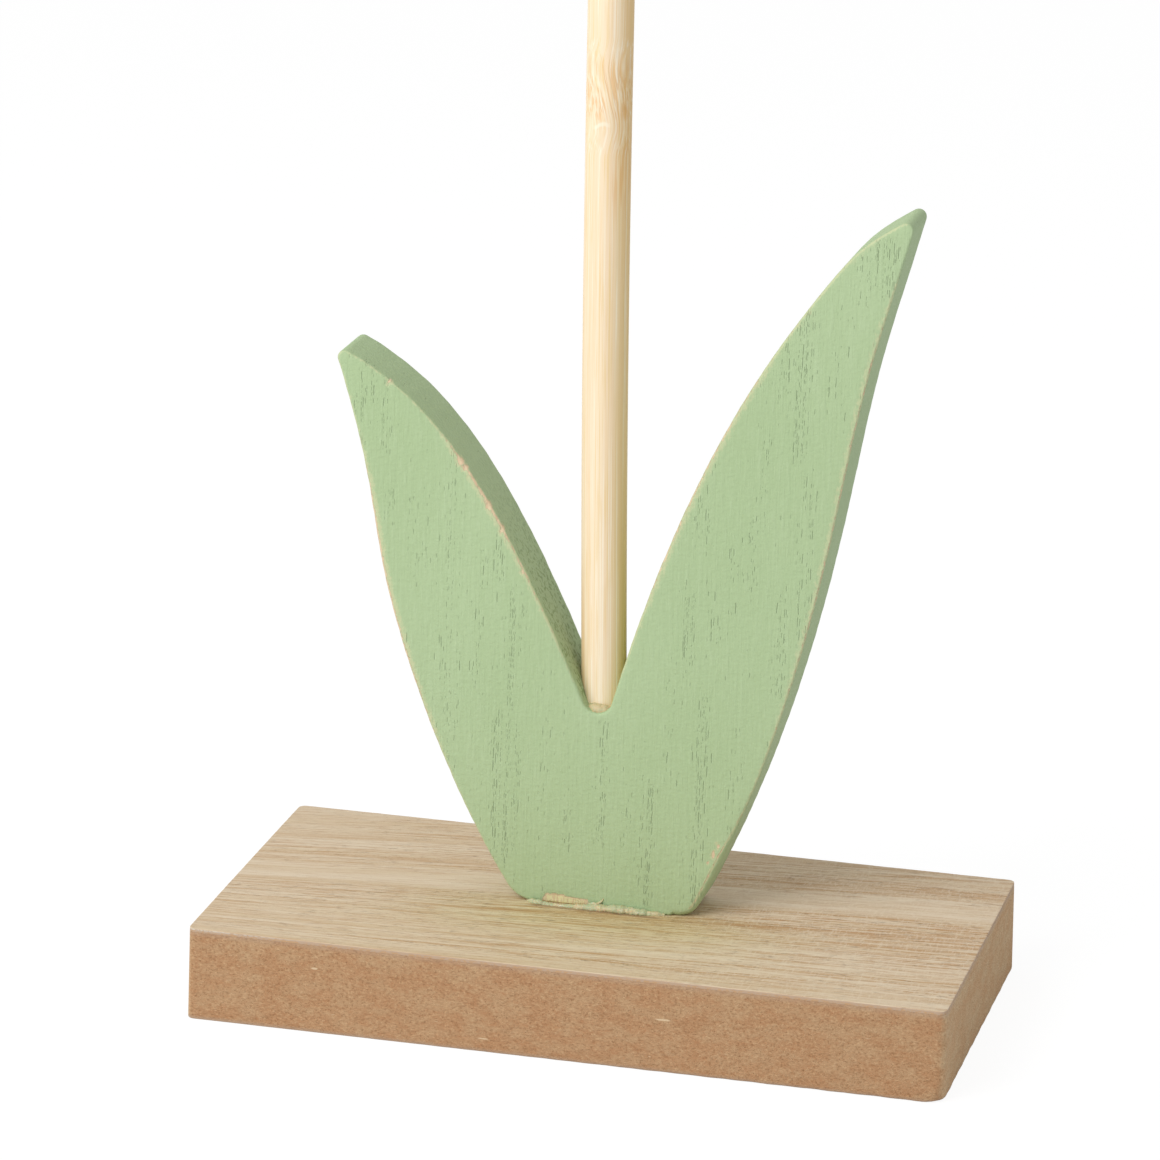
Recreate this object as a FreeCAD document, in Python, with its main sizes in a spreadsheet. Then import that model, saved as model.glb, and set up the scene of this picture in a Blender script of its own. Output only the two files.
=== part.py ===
import FreeCAD, Part
import math
import os
import Sketcher
from FreeCAD import Vector

# A wooden tulip on a small base: a veneered board, a flat green pair of leaves that is screwed and
# glued to it, a round stick as the stem, and a flat tulip head on top.
# X runs to the right, Y to the back and Z up. The origin is the middle of the base's underside.

# Lengths are in millimetres and leans in degrees.
SIZES = {
    # the base: its board and the veneer on it
    "BaseLength": 100,
    "BaseWidth": 50,
    "BoardThickness": 12,
    "VeneerThickness": 0.5,
    "BaseCornerRadius": 1.0,
    "BoardArrisRadius": 0.5,
    # the leaf pair: tip to tip and foot to tip before the corners are rounded, how far its middle
    # lies behind the base's middle, and its rounded corners and sanded arrises
    "LeafSpan": 76,
    "LeafRise": 96.2,
    "LeafThickness": 9,
    "LeafSetBack": 2.5,
    "LeafTipRadius": 1.0,
    "LeftFootRadius": 4.5,
    "RightFootRadius": 3.0,
    "NotchRadius": 2.0,
    "PaintedArrisRadius": 0.4,
    # the stem: its lower end's place left of the middle and below the notch, and its lean to the left
    "StemDiameter": 5.9,
    "StemLength": 221,
    "StemLowerLength": 23,
    "StemBendLength": 70,
    "StemLean": 1.2,
    "StemTopLean": 0.1,
    "StemOffset": 1.5,
    "StemSeatDepth": 8,
    "StemFitClearance": 0.1,
    # the tulip head
    "HeadWidth": 58,
    "HeadHeight": 72,
    "HeadThickness": 9,
    "HeadHoleDepth": 20,
    "HeadPointRadius": 1.2,
    "HeadValleyRadius": 2.0,
    # the two leaf screws and the cross slots in their heads
    "ScrewDiameter": 3.5,
    "ScrewLength": 25,
    "ScrewTipLength": 4,
    "ScrewHeadDiameter": 7,
    "ScrewRimHeight": 0.4,
    "ScrewSinkDepth": 0.3,
    "ScrewSpacing": 14,
    "ScrewClearance": 0.1,
    "DriverSlotLength": 4.2,
    "DriverSlotWidth": 1.1,
    "DriverSlotDepth": 1.6,
    # the glue that shows, and how far below the notch's bottom its cone of glue starts
    "FootGlueLength": 19,
    "FootGlueRadius": 0.8,
    "NotchGlueWidth": 1.3,
    "NotchGlueHeight": 4.3,
    "NotchGlueSink": 2.3,
    "HeadGlueWidth": 1.0,
    "HeadGlueHeight": 1.2,
    # how far cutters run past the faces that they go through
    "CutOverrun": 1.0,
}

# The leaf pair's outline, as handles of cubic splines: shares of the leaf's span and of its rise,
# counted from the middle of the foot. The foot's two ends are joined by a straight line.
NOTCH_SHARES = (-0.015, 0.235)
LEAF_CURVE_SHARES = (
    ((-0.157, 0.0), (-0.274, 0.135), (-0.442, 0.491), (-0.416, 0.576), (-0.496, 0.763)),
    ((-0.496, 0.763), (-0.31, 0.7), (-0.2, 0.581), NOTCH_SHARES),
    (NOTCH_SHARES, (0.103, 0.605), (0.395, 0.951), (0.415, 0.955), (0.504, 1.0)),
    ((0.504, 1.0), (0.449, 0.831), (0.421, 0.793), (0.322, 0.268), (0.154, 0.0)),
)

# The right half of the tulip head's outline, as shares of its width and of its height, counted
# from the middle of its flat bottom: the cup's side, the side petal's inner edge, the middle petal.
HEAD_SIDE_SHARES = ((0.1, 0.0), (0.32, 0.0), (0.5, 0.16), (0.52, 0.48), (0.44, 0.7), (0.5, 0.93))
HEAD_INNER_SHARES = ((0.5, 0.93), (0.37, 0.87), (0.27, 0.73), (0.2, 0.6))
HEAD_MIDDLE_SHARES = ((0.2, 0.6), (0.16, 0.75), (0.08, 0.87), (0.0, 1.0))

SPLINE_DEGREE = 3
FULL_TURN = 360
SAME_PLACE = 1e-4

doc = FreeCAD.newDocument("WoodenTulip")
sheet = doc.addObject("Spreadsheet::Sheet", "Sizes")
for row, (alias, number) in enumerate(SIZES.items(), start=1):
    sheet.set(f"A{row}", alias)
    sheet.set(f"B{row}", str(number))
    sheet.setAlias(f"B{row}", alias)
doc.recompute()


def amount(expression):
    """What an expression of the sheet's cells comes to at present."""
    result = sheet.evalExpression(expression)
    return float(getattr(result, "Value", result))


def bind(thing, **expressions):
    """Lets properties follow expressions."""
    for name, expression in expressions.items():
        thing.setExpression(name, expression)


def place(thing, x, y, z, lean="0", start=None):
    """Stands a thing at a point, leaning about Y, in the frame of the thing that it starts from."""
    spot = f"placement(vector({x}; {y}; {z}); rotation(vector(0; 1; 0); {lean}))"
    thing.setExpression("Placement", f"{start.Name}.Placement * {spot}" if start else spot)


def new_body(label):
    body = doc.addObject("PartDesign::Body", "Body_" + label)
    body.Label = label
    return body


def new_sketch(body, name, role):
    sketch = body.newObject("Sketcher::SketchObject", name)
    plane = next(item for item in body.Origin.OriginFeatures if item.Role == role)
    sketch.AttachmentSupport = (plane, [""])
    sketch.MapMode = "FlatFace"
    return sketch


def hold(sketch, kind, *where, by):
    """Adds a constraint whose amount follows an expression."""
    now = math.radians(amount(by)) if kind == "Angle" else amount(by)
    index = sketch.addConstraint(Sketcher.Constraint(kind, *where, now))
    sketch.setExpression(f"Constraints[{index}]", by)


def hold_point(sketch, item, end, x, y):
    hold(sketch, "DistanceX", -1, 1, item, end, by=x)
    hold(sketch, "DistanceY", -1, 1, item, end, by=y)


def polygon_sketch(body, name, role, corners):
    """A closed polygon. Each corner is a pair of expressions."""
    sketch = new_sketch(body, name, role)
    points = [Vector(amount(x), amount(y), 0) for x, y in corners]
    for start, end in zip(points, points[1:] + points[:1]):
        sketch.addGeometry(Part.LineSegment(start, end), False)
    for item, corner in enumerate(corners):
        side_before = (item - 1) % len(corners)
        sketch.addConstraint(Sketcher.Constraint("Coincident", side_before, 2, item, 1))
        hold_point(sketch, item, 1, *corner)
    return sketch


def spline_sketch(body, name, curves, across, up):
    """A closed outline on the upright plane: cubic splines whose handles are shares of two sizes.

    A straight line joins the last curve to the first.
    """
    sketch = new_sketch(body, name, "XZ_Plane")
    handles = [[(f"{across} * {x}", f"{up} * {y}") for x, y in curve] for curve in curves]
    for curve in handles:
        poles = [Vector(amount(x), amount(y), 0) for x, y in curve]
        spans = len(poles) - SPLINE_DEGREE
        spline = Part.BSplineCurve()
        ends = SPLINE_DEGREE + 1
        spline.buildFromPolesMultsKnots(
            poles, [ends] + [1] * (spans - 1) + [ends], list(range(spans + 1)), False, SPLINE_DEGREE)
        sketch.addGeometry(spline, False)
    last = len(handles) - 1
    foot = sketch.addGeometry(Part.LineSegment(sketch.getPoint(last, 2), sketch.getPoint(0, 1)), False)
    sketch.addConstraint(Sketcher.Constraint("Coincident", foot, 1, last, 2))
    sketch.addConstraint(Sketcher.Constraint("Coincident", foot, 2, 0, 1))
    for item, curve in enumerate(handles):
        first_handle = sketch.GeometryCount
        sketch.exposeInternalGeometry(item)
        for number, (x, y) in enumerate(curve):
            hold_point(sketch, first_handle + number, 3, x, y)
    return sketch


def pad(body, name, sketch, length, both_ways=False):
    feature = body.newObject("PartDesign::Pad", name)
    feature.Profile = sketch
    bind(feature, Length=length)
    if both_ways:
        feature.SideType = "Symmetric"
    doc.recompute()
    return feature


def round_edges(body, name, feature, chosen, radius):
    """Rounds the edges of the latest feature that the chosen test picks out."""
    names = [f"Edge{n}" for n, edge in enumerate(feature.Shape.Edges, start=1) if chosen(edge)]
    fillet = body.newObject("PartDesign::Fillet", name)
    fillet.Base = (feature, names)
    bind(fillet, Radius=radius)
    doc.recompute()
    return fillet


def stands_at(points):
    """Picks the straight edges through the stock that pass one of the outline's corners."""
    corners = [Vector(amount(x), 0, amount(z)) for x, z in points]

    def chosen(edge):
        middle = edge.CenterOfMass
        flat = Vector(middle.x, 0, middle.z)
        return edge.BoundBox.YLength > SAME_PLACE and any(
            flat.distanceToPoint(corner) < SAME_PLACE for corner in corners)

    return chosen


def on_either_face(thickness):
    """Picks the edges that lie in the front or the back face of upright stock."""
    half = amount(thickness) / 2

    def chosen(edge):
        box = edge.BoundBox
        return box.YLength < SAME_PLACE and abs(abs(box.YMin) - half) < SAME_PLACE

    return chosen


def cut_round(body, name, x, y, z, radius, height, lean="0", top_radius=None):
    """Takes a round hole, or a tapered one, out of a body, from its lower end up."""
    before = body.Shape.Volume
    kind = "Cone" if top_radius else "Cylinder"
    cutter = body.newObject("PartDesign::Subtractive" + kind, name)
    if top_radius:
        bind(cutter, Radius1=radius, Radius2=top_radius, Height=height)
    else:
        bind(cutter, Radius=radius, Height=height)
    place(cutter, x, y, z, lean)
    doc.recompute()
    if body.Shape.Volume > before - SAME_PLACE:
        raise RuntimeError(f"{name} cut nothing")
    return cutter


def cut_away(label, thing, *tools):
    """Takes the tools' shapes out of a solid, one after the other."""
    for number, tool in enumerate(tools, start=1):
        cut = doc.addObject("Part::Cut", f"Cut_{label}_{number}")
        cut.Base = thing
        cut.Tool = tool
        thing = cut
    thing.Label = label
    return thing


# The base: a board with a sheet of veneer on top, one outline for both
BASE_CORNERS = [
    (f"{x} Sizes.BaseLength / 2", f"{y} Sizes.BaseWidth / 2")
    for x, y in (("-", "-"), ("", "-"), ("", ""), ("-", ""))
]
BASE_HEIGHT = "(Sizes.BoardThickness + Sizes.VeneerThickness)"
SCREW_PLACES = (("left", "-Sizes.ScrewSpacing / 2"), ("right", "Sizes.ScrewSpacing / 2"))
SCREW_HOLE_RADIUS = "(Sizes.ScrewDiameter + Sizes.ScrewClearance) / 2"
SCREW_HEAD_HOLE_RADIUS = "(Sizes.ScrewHeadDiameter + Sizes.ScrewClearance) / 2"
SCREW_TAPER_HEIGHT = "(Sizes.ScrewHeadDiameter - Sizes.ScrewDiameter) / 2"


def upright_corner(edge):
    return edge.BoundBox.ZLength > SAME_PLACE


def bottom_edge(edge):
    return edge.BoundBox.ZMax < SAME_PLACE


def base_slab(label, thickness):
    body = new_body(label)
    outline = polygon_sketch(body, "Outline_" + label, "XY_Plane", BASE_CORNERS)
    slab = pad(body, "Slab_" + label, outline, thickness)
    round_edges(body, "Corners_" + label, slab, upright_corner, "Sizes.BaseCornerRadius")
    return body


board = base_slab("base_board", "Sizes.BoardThickness")
round_edges(board, "BottomArris", board.Tip, bottom_edge, "Sizes.BoardArrisRadius")
for side, x in SCREW_PLACES:
    taper_start = "(Sizes.ScrewSinkDepth + Sizes.ScrewRimHeight)"
    cut_round(board, f"ScrewHole_{side}", x, "Sizes.LeafSetBack", "-Sizes.CutOverrun",
              SCREW_HOLE_RADIUS, "Sizes.BoardThickness + 2 * Sizes.CutOverrun")
    cut_round(board, f"HeadHole_{side}", x, "Sizes.LeafSetBack", "-Sizes.CutOverrun",
              SCREW_HEAD_HOLE_RADIUS, f"Sizes.CutOverrun + {taper_start}")
    cut_round(board, f"HeadTaper_{side}", x, "Sizes.LeafSetBack", taper_start,
              SCREW_HEAD_HOLE_RADIUS, SCREW_TAPER_HEIGHT, top_radius=SCREW_HOLE_RADIUS)

veneer = base_slab("base_veneer", "Sizes.VeneerThickness")
place(veneer, "0", "0", "Sizes.BoardThickness")
for side, x in SCREW_PLACES:
    cut_round(veneer, f"VeneerHole_{side}", x, "Sizes.LeafSetBack", "-Sizes.CutOverrun",
              SCREW_HOLE_RADIUS, "Sizes.VeneerThickness + 2 * Sizes.CutOverrun")

# The leaf pair: one flat cut-out, its arrises sanded round, drilled from the notch for the stem
# and from the foot for the two screws
leaf_pair = new_body("leaf_pair")
place(leaf_pair, "0", "Sizes.LeafSetBack", BASE_HEIGHT)
leaf_outline = spline_sketch(
    leaf_pair, "LeafOutline", LEAF_CURVE_SHARES, "Sizes.LeafSpan", "Sizes.LeafRise")
leaf_stock = pad(leaf_pair, "LeafStock", leaf_outline, "Sizes.LeafThickness", both_ways=True)


def leaf_corner(share):
    return f"Sizes.LeafSpan * {share[0]}", f"Sizes.LeafRise * {share[1]}"


leaf_tips = [leaf_corner(LEAF_CURVE_SHARES[1][0]), leaf_corner(LEAF_CURVE_SHARES[3][0])]
leaf_feet = [leaf_corner(LEAF_CURVE_SHARES[0][0]), leaf_corner(LEAF_CURVE_SHARES[3][-1])]
leaf_rounded = leaf_stock
for name, corners, radius in (
        ("LeafTips", leaf_tips, "Sizes.LeafTipRadius"),
        ("LeftFoot", leaf_feet[:1], "Sizes.LeftFootRadius"),
        ("RightFoot", leaf_feet[1:], "Sizes.RightFootRadius"),
        ("Notch", [leaf_corner(NOTCH_SHARES)], "Sizes.NotchRadius")):
    leaf_rounded = round_edges(leaf_pair, name, leaf_rounded, stands_at(corners), radius)
round_edges(leaf_pair, "LeafArrises", leaf_rounded, on_either_face("Sizes.LeafThickness"),
            "Sizes.PaintedArrisRadius")


def wall_lean(handle):
    """How far the notch's wall towards a handle leans out from upright, in degrees."""
    run = abs(handle[0] - NOTCH_SHARES[0])
    rise = handle[1] - NOTCH_SHARES[1]
    return f"atan(Sizes.LeafSpan * {run} / (Sizes.LeafRise * {rise}))"


# The rounded bottom of the notch lies above the corner where its walls would meet
LEFT_WALL_LEAN = wall_lean(LEAF_CURVE_SHARES[1][-2])
RIGHT_WALL_LEAN = wall_lean(LEAF_CURVE_SHARES[2][1])
NOTCH_RISE = (f"Sizes.NotchRadius * (cos(({LEFT_WALL_LEAN} - {RIGHT_WALL_LEAN}) / 2)"
              f" / sin(({LEFT_WALL_LEAN} + {RIGHT_WALL_LEAN}) / 2) - 1)")

STEM_HOLE_RADIUS = "(Sizes.StemDiameter + Sizes.StemFitClearance) / 2"
STEM_SEAT = ("-Sizes.StemOffset", "0", f"Sizes.LeafRise * {NOTCH_SHARES[1]} - Sizes.StemSeatDepth")
cut_round(leaf_pair, "StemHole", *STEM_SEAT, STEM_HOLE_RADIUS, "Sizes.LeafRise", lean="-Sizes.StemLean")
SCREW_REACH = "(Sizes.ScrewSinkDepth + Sizes.ScrewLength - Sizes.BoardThickness - Sizes.VeneerThickness)"
for side, x in SCREW_PLACES:
    cut_round(leaf_pair, f"PilotHole_{side}", x, "0", "-Sizes.CutOverrun",
              SCREW_HOLE_RADIUS, f"{SCREW_REACH} + Sizes.CutOverrun")

# The two countersunk screws that hold the leaf pair from under the base
screws = []
for side, x in SCREW_PLACES:
    screw = new_body("screw_" + side)
    place(screw, x, "Sizes.LeafSetBack", "Sizes.ScrewSinkDepth")
    head_radius = "Sizes.ScrewHeadDiameter / 2"
    shank_radius = "Sizes.ScrewDiameter / 2"
    profile = polygon_sketch(screw, f"ScrewProfile_{side}", "XZ_Plane", [
        ("0", "0"),
        (head_radius, "0"),
        (head_radius, "Sizes.ScrewRimHeight"),
        (shank_radius, f"Sizes.ScrewRimHeight + {SCREW_TAPER_HEIGHT}"),
        (shank_radius, "Sizes.ScrewLength - Sizes.ScrewTipLength"),
        ("0", "Sizes.ScrewLength"),
    ])
    turned = screw.newObject("PartDesign::Revolution", f"Turned_{side}")
    turned.Profile = profile
    turned.ReferenceAxis = (profile, ["V_Axis"])
    turned.Angle = FULL_TURN
    doc.recompute()
    for slot, long_side, short_side in (("Across", "Length", "Width"), ("Along", "Width", "Length")):
        cutter = screw.newObject("PartDesign::SubtractiveBox", f"Slot{slot}_{side}")
        bind(cutter, **{long_side: "Sizes.DriverSlotLength", short_side: "Sizes.DriverSlotWidth",
                        "Height": "Sizes.DriverSlotDepth + Sizes.CutOverrun"})
        half_length = "-Sizes.DriverSlotLength / 2"
        half_width = "-Sizes.DriverSlotWidth / 2"
        corner = (half_length, half_width) if slot == "Across" else (half_width, half_length)
        place(cutter, *corner, "-Sizes.CutOverrun")
        doc.recompute()
    screws.append(screw)
leaf_screws = doc.addObject("Part::Compound", "LeafScrews")
leaf_screws.Label = "leaf_screws"
leaf_screws.Links = screws

# The stem: a round stick, straight where it is glued in, then slightly bowed, then straight again
stem = new_body("stem")
place(stem, *STEM_SEAT, lean="-Sizes.StemLean", start=leaf_pair)
STEM_TURN = "(Sizes.StemLean - Sizes.StemTopLean)"
BEND_RADIUS = f"(Sizes.StemBendLength * 180 / (pi * {STEM_TURN}))"
UPPER_LENGTH = "(Sizes.StemLength - Sizes.StemLowerLength - Sizes.StemBendLength)"

stem_section = new_sketch(stem, "StemSection", "XY_Plane")
round_section = Part.Circle(Vector(0, 0, 0), Vector(0, 0, 1), amount("Sizes.StemDiameter / 2"))
stem_section.addGeometry(round_section, False)
stem_section.addConstraint(Sketcher.Constraint("Coincident", 0, 3, -1, 1))
hold(stem_section, "Diameter", 0, by="Sizes.StemDiameter")

stem_path = new_sketch(stem, "StemPath", "XZ_Plane")
turn = math.radians(amount(STEM_TURN))
bend_start = Vector(0, amount("Sizes.StemLowerLength"), 0)
bend_middle = bend_start + Vector(amount(BEND_RADIUS), 0, 0)
bend_circle = Part.Circle(bend_middle, Vector(0, 0, 1), amount(BEND_RADIUS))
bend_end = bend_middle + Vector(-math.cos(turn), math.sin(turn), 0) * amount(BEND_RADIUS)
stem_end = bend_end + Vector(math.sin(turn), math.cos(turn), 0) * amount(UPPER_LENGTH)
stem_path.addGeometry(Part.LineSegment(Vector(0, 0, 0), bend_start), False)
stem_path.addGeometry(Part.ArcOfCircle(bend_circle, math.pi - turn, math.pi), False)
stem_path.addGeometry(Part.LineSegment(bend_end, stem_end), False)
stem_path.addConstraint(Sketcher.Constraint("Coincident", 0, 1, -1, 1))
stem_path.addConstraint(Sketcher.Constraint("Vertical", 0))
stem_path.addConstraint(Sketcher.Constraint("Tangent", 0, 2, 1, 2))
stem_path.addConstraint(Sketcher.Constraint("Tangent", 1, 1, 2, 1))
hold(stem_path, "Distance", 0, by="Sizes.StemLowerLength")
hold(stem_path, "Radius", 1, by=BEND_RADIUS)
hold(stem_path, "Angle", 1, by=STEM_TURN)
hold(stem_path, "Distance", 2, by=UPPER_LENGTH)
doc.recompute()
stick = stem.newObject("PartDesign::AdditivePipe", "Stick")
stick.Profile = stem_section
stick.Spine = (stem_path, ["Edge1", "Edge2", "Edge3"])
doc.recompute()

# The tulip head: one flat cut-out like the leaves, drilled from below and stuck on the stem
HEAD_RISE = f"({UPPER_LENGTH} - Sizes.HeadHoleDepth)"
HEAD_X = f"{BEND_RADIUS} * (1 - cos({STEM_TURN})) + {HEAD_RISE} * sin({STEM_TURN})"
HEAD_Z = (f"Sizes.StemLowerLength + {BEND_RADIUS} * sin({STEM_TURN})"
          f" + {HEAD_RISE} * cos({STEM_TURN})")
tulip_head = new_body("tulip_head")
place(tulip_head, HEAD_X, "0", HEAD_Z, lean=STEM_TURN, start=stem)


def mirrored(curve):
    return tuple((-x, z) for x, z in reversed(curve))


HEAD_RIGHT_SHARES = (HEAD_SIDE_SHARES, HEAD_INNER_SHARES, HEAD_MIDDLE_SHARES)
HEAD_LEFT_SHARES = tuple(mirrored(curve) for curve in reversed(HEAD_RIGHT_SHARES))
HEAD_CURVE_SHARES = HEAD_RIGHT_SHARES + HEAD_LEFT_SHARES
head_outline = spline_sketch(
    tulip_head, "HeadOutline", HEAD_CURVE_SHARES, "Sizes.HeadWidth", "Sizes.HeadHeight")
head_stock = pad(tulip_head, "HeadStock", head_outline, "Sizes.HeadThickness", both_ways=True)


def head_corner(share):
    return f"Sizes.HeadWidth * {share[0]}", f"Sizes.HeadHeight * {share[1]}"


head_ends = [curve[-1] for curve in HEAD_CURVE_SHARES[:-1]]
head_points = [head_corner(head_ends[number]) for number in (0, 2, 4)]
head_valleys = [head_corner(head_ends[number]) for number in (1, 3)]
head_rounded = head_stock
for name, corners, radius in (
        ("HeadPoints", head_points, "Sizes.HeadPointRadius"),
        ("HeadValleys", head_valleys, "Sizes.HeadValleyRadius")):
    head_rounded = round_edges(tulip_head, name, head_rounded, stands_at(corners), radius)
round_edges(tulip_head, "HeadArrises", head_rounded, on_either_face("Sizes.HeadThickness"),
            "Sizes.PaintedArrisRadius")
cut_round(tulip_head, "HeadHole", "0", "0", "-Sizes.CutOverrun", STEM_HOLE_RADIUS,
          "Sizes.HeadHoleDepth + Sizes.CutOverrun")

# The glue that shows: a bead along the front of the foot, a fillet in the notch and one under the head
foot_bead = doc.addObject("Part::Ellipsoid", "FootBead")
bind(foot_bead, Radius1="Sizes.FootGlueRadius", Radius2="Sizes.FootGlueLength / 2",
     Radius3="Sizes.FootGlueRadius")
place(foot_bead, "0", "Sizes.LeafSetBack - Sizes.LeafThickness / 2", BASE_HEIGHT)
foot_glue = cut_away("foot_glue", foot_bead, leaf_pair, veneer, board)


def glue_fillet(label, carrier, z, height, lower_radius, upper_radius, *tools):
    """A cone of glue round the stem, less what it is stuck to and the hole that the stem passes."""
    cone = doc.addObject("Part::Cone", "Cone_" + label)
    bind(cone, Radius1=lower_radius, Radius2=upper_radius, Height=height)
    place(cone, "0", "0", z, start=carrier)
    core = doc.addObject("Part::Cylinder", "Core_" + label)
    bind(core, Radius=STEM_HOLE_RADIUS, Height=f"{height} + 2 * Sizes.CutOverrun")
    place(core, "0", "0", f"{z} - Sizes.CutOverrun", start=carrier)
    return cut_away(label, cone, *tools, core)


notch_glue = glue_fillet(
    "notch_glue", stem, f"Sizes.StemSeatDepth + {NOTCH_RISE} - Sizes.NotchGlueSink",
    "Sizes.NotchGlueHeight", f"{STEM_HOLE_RADIUS} + Sizes.NotchGlueWidth", STEM_HOLE_RADIUS, leaf_pair)
head_glue = glue_fillet(
    "head_glue", tulip_head, "-Sizes.HeadGlueHeight", "Sizes.HeadGlueHeight",
    STEM_HOLE_RADIUS, f"{STEM_HOLE_RADIUS} + Sizes.HeadGlueWidth")
doc.recompute()

NODES = [board, veneer, leaf_pair, leaf_screws, foot_glue, stem, notch_glue, tulip_head, head_glue]
for thing in doc.Objects:
    if "Invalid" in thing.State or "Error" in thing.State:
        raise RuntimeError(f"{thing.Label} failed: {thing.State}")
for node in NODES:
    if node.Shape.isNull() or not node.Shape.isValid() or not node.Shape.Solids:
        raise RuntimeError(f"{node.Label} has no valid solid")

os.makedirs("parts", exist_ok=True)
for node in NODES:
    node.Shape.exportStep(f"parts/{node.Label}.step")
    box = node.Shape.BoundBox
    print(f"{node.Label}: {len(node.Shape.Solids)} solid(s), {node.Shape.Volume:.1f} mm3,"
          f" x {box.XMin:.2f} to {box.XMax:.2f}, y {box.YMin:.2f} to {box.YMax:.2f},"
          f" z {box.ZMin:.2f} to {box.ZMax:.2f}")
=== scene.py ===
import math
import bmesh
import bpy
import numpy as np
from mathutils import Matrix, Vector
from mathutils.geometry import delaunay_2d_cdt


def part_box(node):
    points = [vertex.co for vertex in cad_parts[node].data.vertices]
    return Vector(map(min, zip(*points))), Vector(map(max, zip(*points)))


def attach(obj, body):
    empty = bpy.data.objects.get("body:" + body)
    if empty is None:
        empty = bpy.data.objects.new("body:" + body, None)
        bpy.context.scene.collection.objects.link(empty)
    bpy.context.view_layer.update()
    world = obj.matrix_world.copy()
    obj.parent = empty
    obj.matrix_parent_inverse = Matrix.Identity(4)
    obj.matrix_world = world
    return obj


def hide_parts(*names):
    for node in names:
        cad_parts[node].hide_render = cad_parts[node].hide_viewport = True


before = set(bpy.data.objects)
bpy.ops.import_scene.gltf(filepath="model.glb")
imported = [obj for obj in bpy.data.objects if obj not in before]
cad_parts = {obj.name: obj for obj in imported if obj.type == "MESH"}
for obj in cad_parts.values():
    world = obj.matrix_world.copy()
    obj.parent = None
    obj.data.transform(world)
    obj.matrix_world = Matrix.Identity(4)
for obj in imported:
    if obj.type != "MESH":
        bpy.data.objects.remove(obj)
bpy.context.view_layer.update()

# A flat wooden tulip on a small base. Lengths are in metres, X runs to the right, Y to the back
# and Z up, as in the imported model. MM turns the millimetres of a maker's drawing into metres.
MM = 0.001
scene = bpy.context.scene
scene.view_settings.view_transform = "Standard"

# The camera: where the photograph was taken from, low and a little right of the front, with a
# long lens, tilted sideways by a degree. It sees the lower half of the object.
CAMERA_PLACE = Vector((0.16243, -0.66486, 0.26763))
CAMERA_AZIMUTH = math.radians(14.1094)
CAMERA_ELEVATION = math.radians(17.1143)
CAMERA_TILT = math.radians(1.1639)
CAMERA_LENS = 172.3
SENSOR_WIDTH = 36.0
CAMERA_NEAR = 0.05
CAMERA_FAR = 50

back_way = Vector((
    math.sin(CAMERA_AZIMUTH) * math.cos(CAMERA_ELEVATION),
    -math.cos(CAMERA_AZIMUTH) * math.cos(CAMERA_ELEVATION),
    math.sin(CAMERA_ELEVATION)))
level_right = (-back_way).cross(Vector((0, 0, 1))).normalized()
level_up = level_right.cross(-back_way)
right_way = math.cos(CAMERA_TILT) * level_right + math.sin(CAMERA_TILT) * level_up
up_way = -math.sin(CAMERA_TILT) * level_right + math.cos(CAMERA_TILT) * level_up
camera_data = bpy.data.cameras.new("camera")
camera_data.lens = CAMERA_LENS
camera_data.sensor_width = SENSOR_WIDTH
camera_data.clip_start = CAMERA_NEAR
camera_data.clip_end = CAMERA_FAR
camera = bpy.data.objects.new("camera", camera_data)
camera.matrix_world = Matrix.Translation(CAMERA_PLACE) @ Matrix(
    (right_way, up_way, back_way)).transposed().to_4x4()
scene.collection.objects.link(camera)
scene.camera = camera

# The studio: a white floor that runs into a white surround, and one soft lamp near by at the front
# left. The camera sees floor and surround as white.
FLOOR_SIDE = 6.0
FLOOR_DROP = 0.02 * MM
FLOOR_WHITE = 0.9
FLOOR_GLOW = 1.07
FLOOR_GLOW_SHARE = 0.85
SURROUND_LIGHT = 0.54
LAMP_PLACE = Vector((-0.33, -0.475, 0.525))
LAMP_AIM = Vector((0.0, 0.0, 0.07))
LAMP_SIDE = 0.5
LAMP_WATTS = 3.6


def add(tree, kind, inputs=None, **settings):
    """Adds a node. An input is named by its name or number: a socket is linked to it, a value written."""
    made = tree.nodes.new(kind)
    for name, value in settings.items():
        setattr(made, name, value)
    for name, value in (inputs or {}).items():
        if isinstance(value, bpy.types.NodeSocket):
            tree.links.new(value, made.inputs[name])
        else:
            made.inputs[name].default_value = value
    return made


def math_of(tree, operation, first, second=0.0, third=0.0):
    """One sum on up to three values or sockets."""
    return add(tree, "ShaderNodeMath", {0: first, 1: second, 2: third}, operation=operation).outputs[0]


def times(tree, first, second):
    """The product of two values or sockets."""
    return math_of(tree, "MULTIPLY", first, second)


def new_material(name):
    """A material with an empty node tree and its output."""
    material = bpy.data.materials.new(name)
    material.use_nodes = True
    material.node_tree.nodes.clear()
    return material, material.node_tree


def to_stage(tree):
    """1 where the camera, or a reflection or refraction, sees a surface, and 0 for other light."""
    path = add(tree, "ShaderNodeLightPath")
    either = math_of(tree, "MAXIMUM", path.outputs["Is Camera Ray"], path.outputs["Is Glossy Ray"])
    return math_of(tree, "MAXIMUM", either, path.outputs["Is Transmission Ray"])


floor_material, tree = new_material("white_floor")
plain_floor = add(tree, "ShaderNodeBsdfDiffuse", {"Color": (FLOOR_WHITE,) * 3 + (1,)})
bright_floor = add(tree, "ShaderNodeEmission", {"Color": (1, 1, 1, 1), "Strength": FLOOR_GLOW})
floor_mix = add(tree, "ShaderNodeMixShader", {
    0: times(tree, to_stage(tree), FLOOR_GLOW_SHARE), 1: plain_floor.outputs[0], 2: bright_floor.outputs[0]})
add(tree, "ShaderNodeOutputMaterial", {"Surface": floor_mix.outputs[0]})

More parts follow.
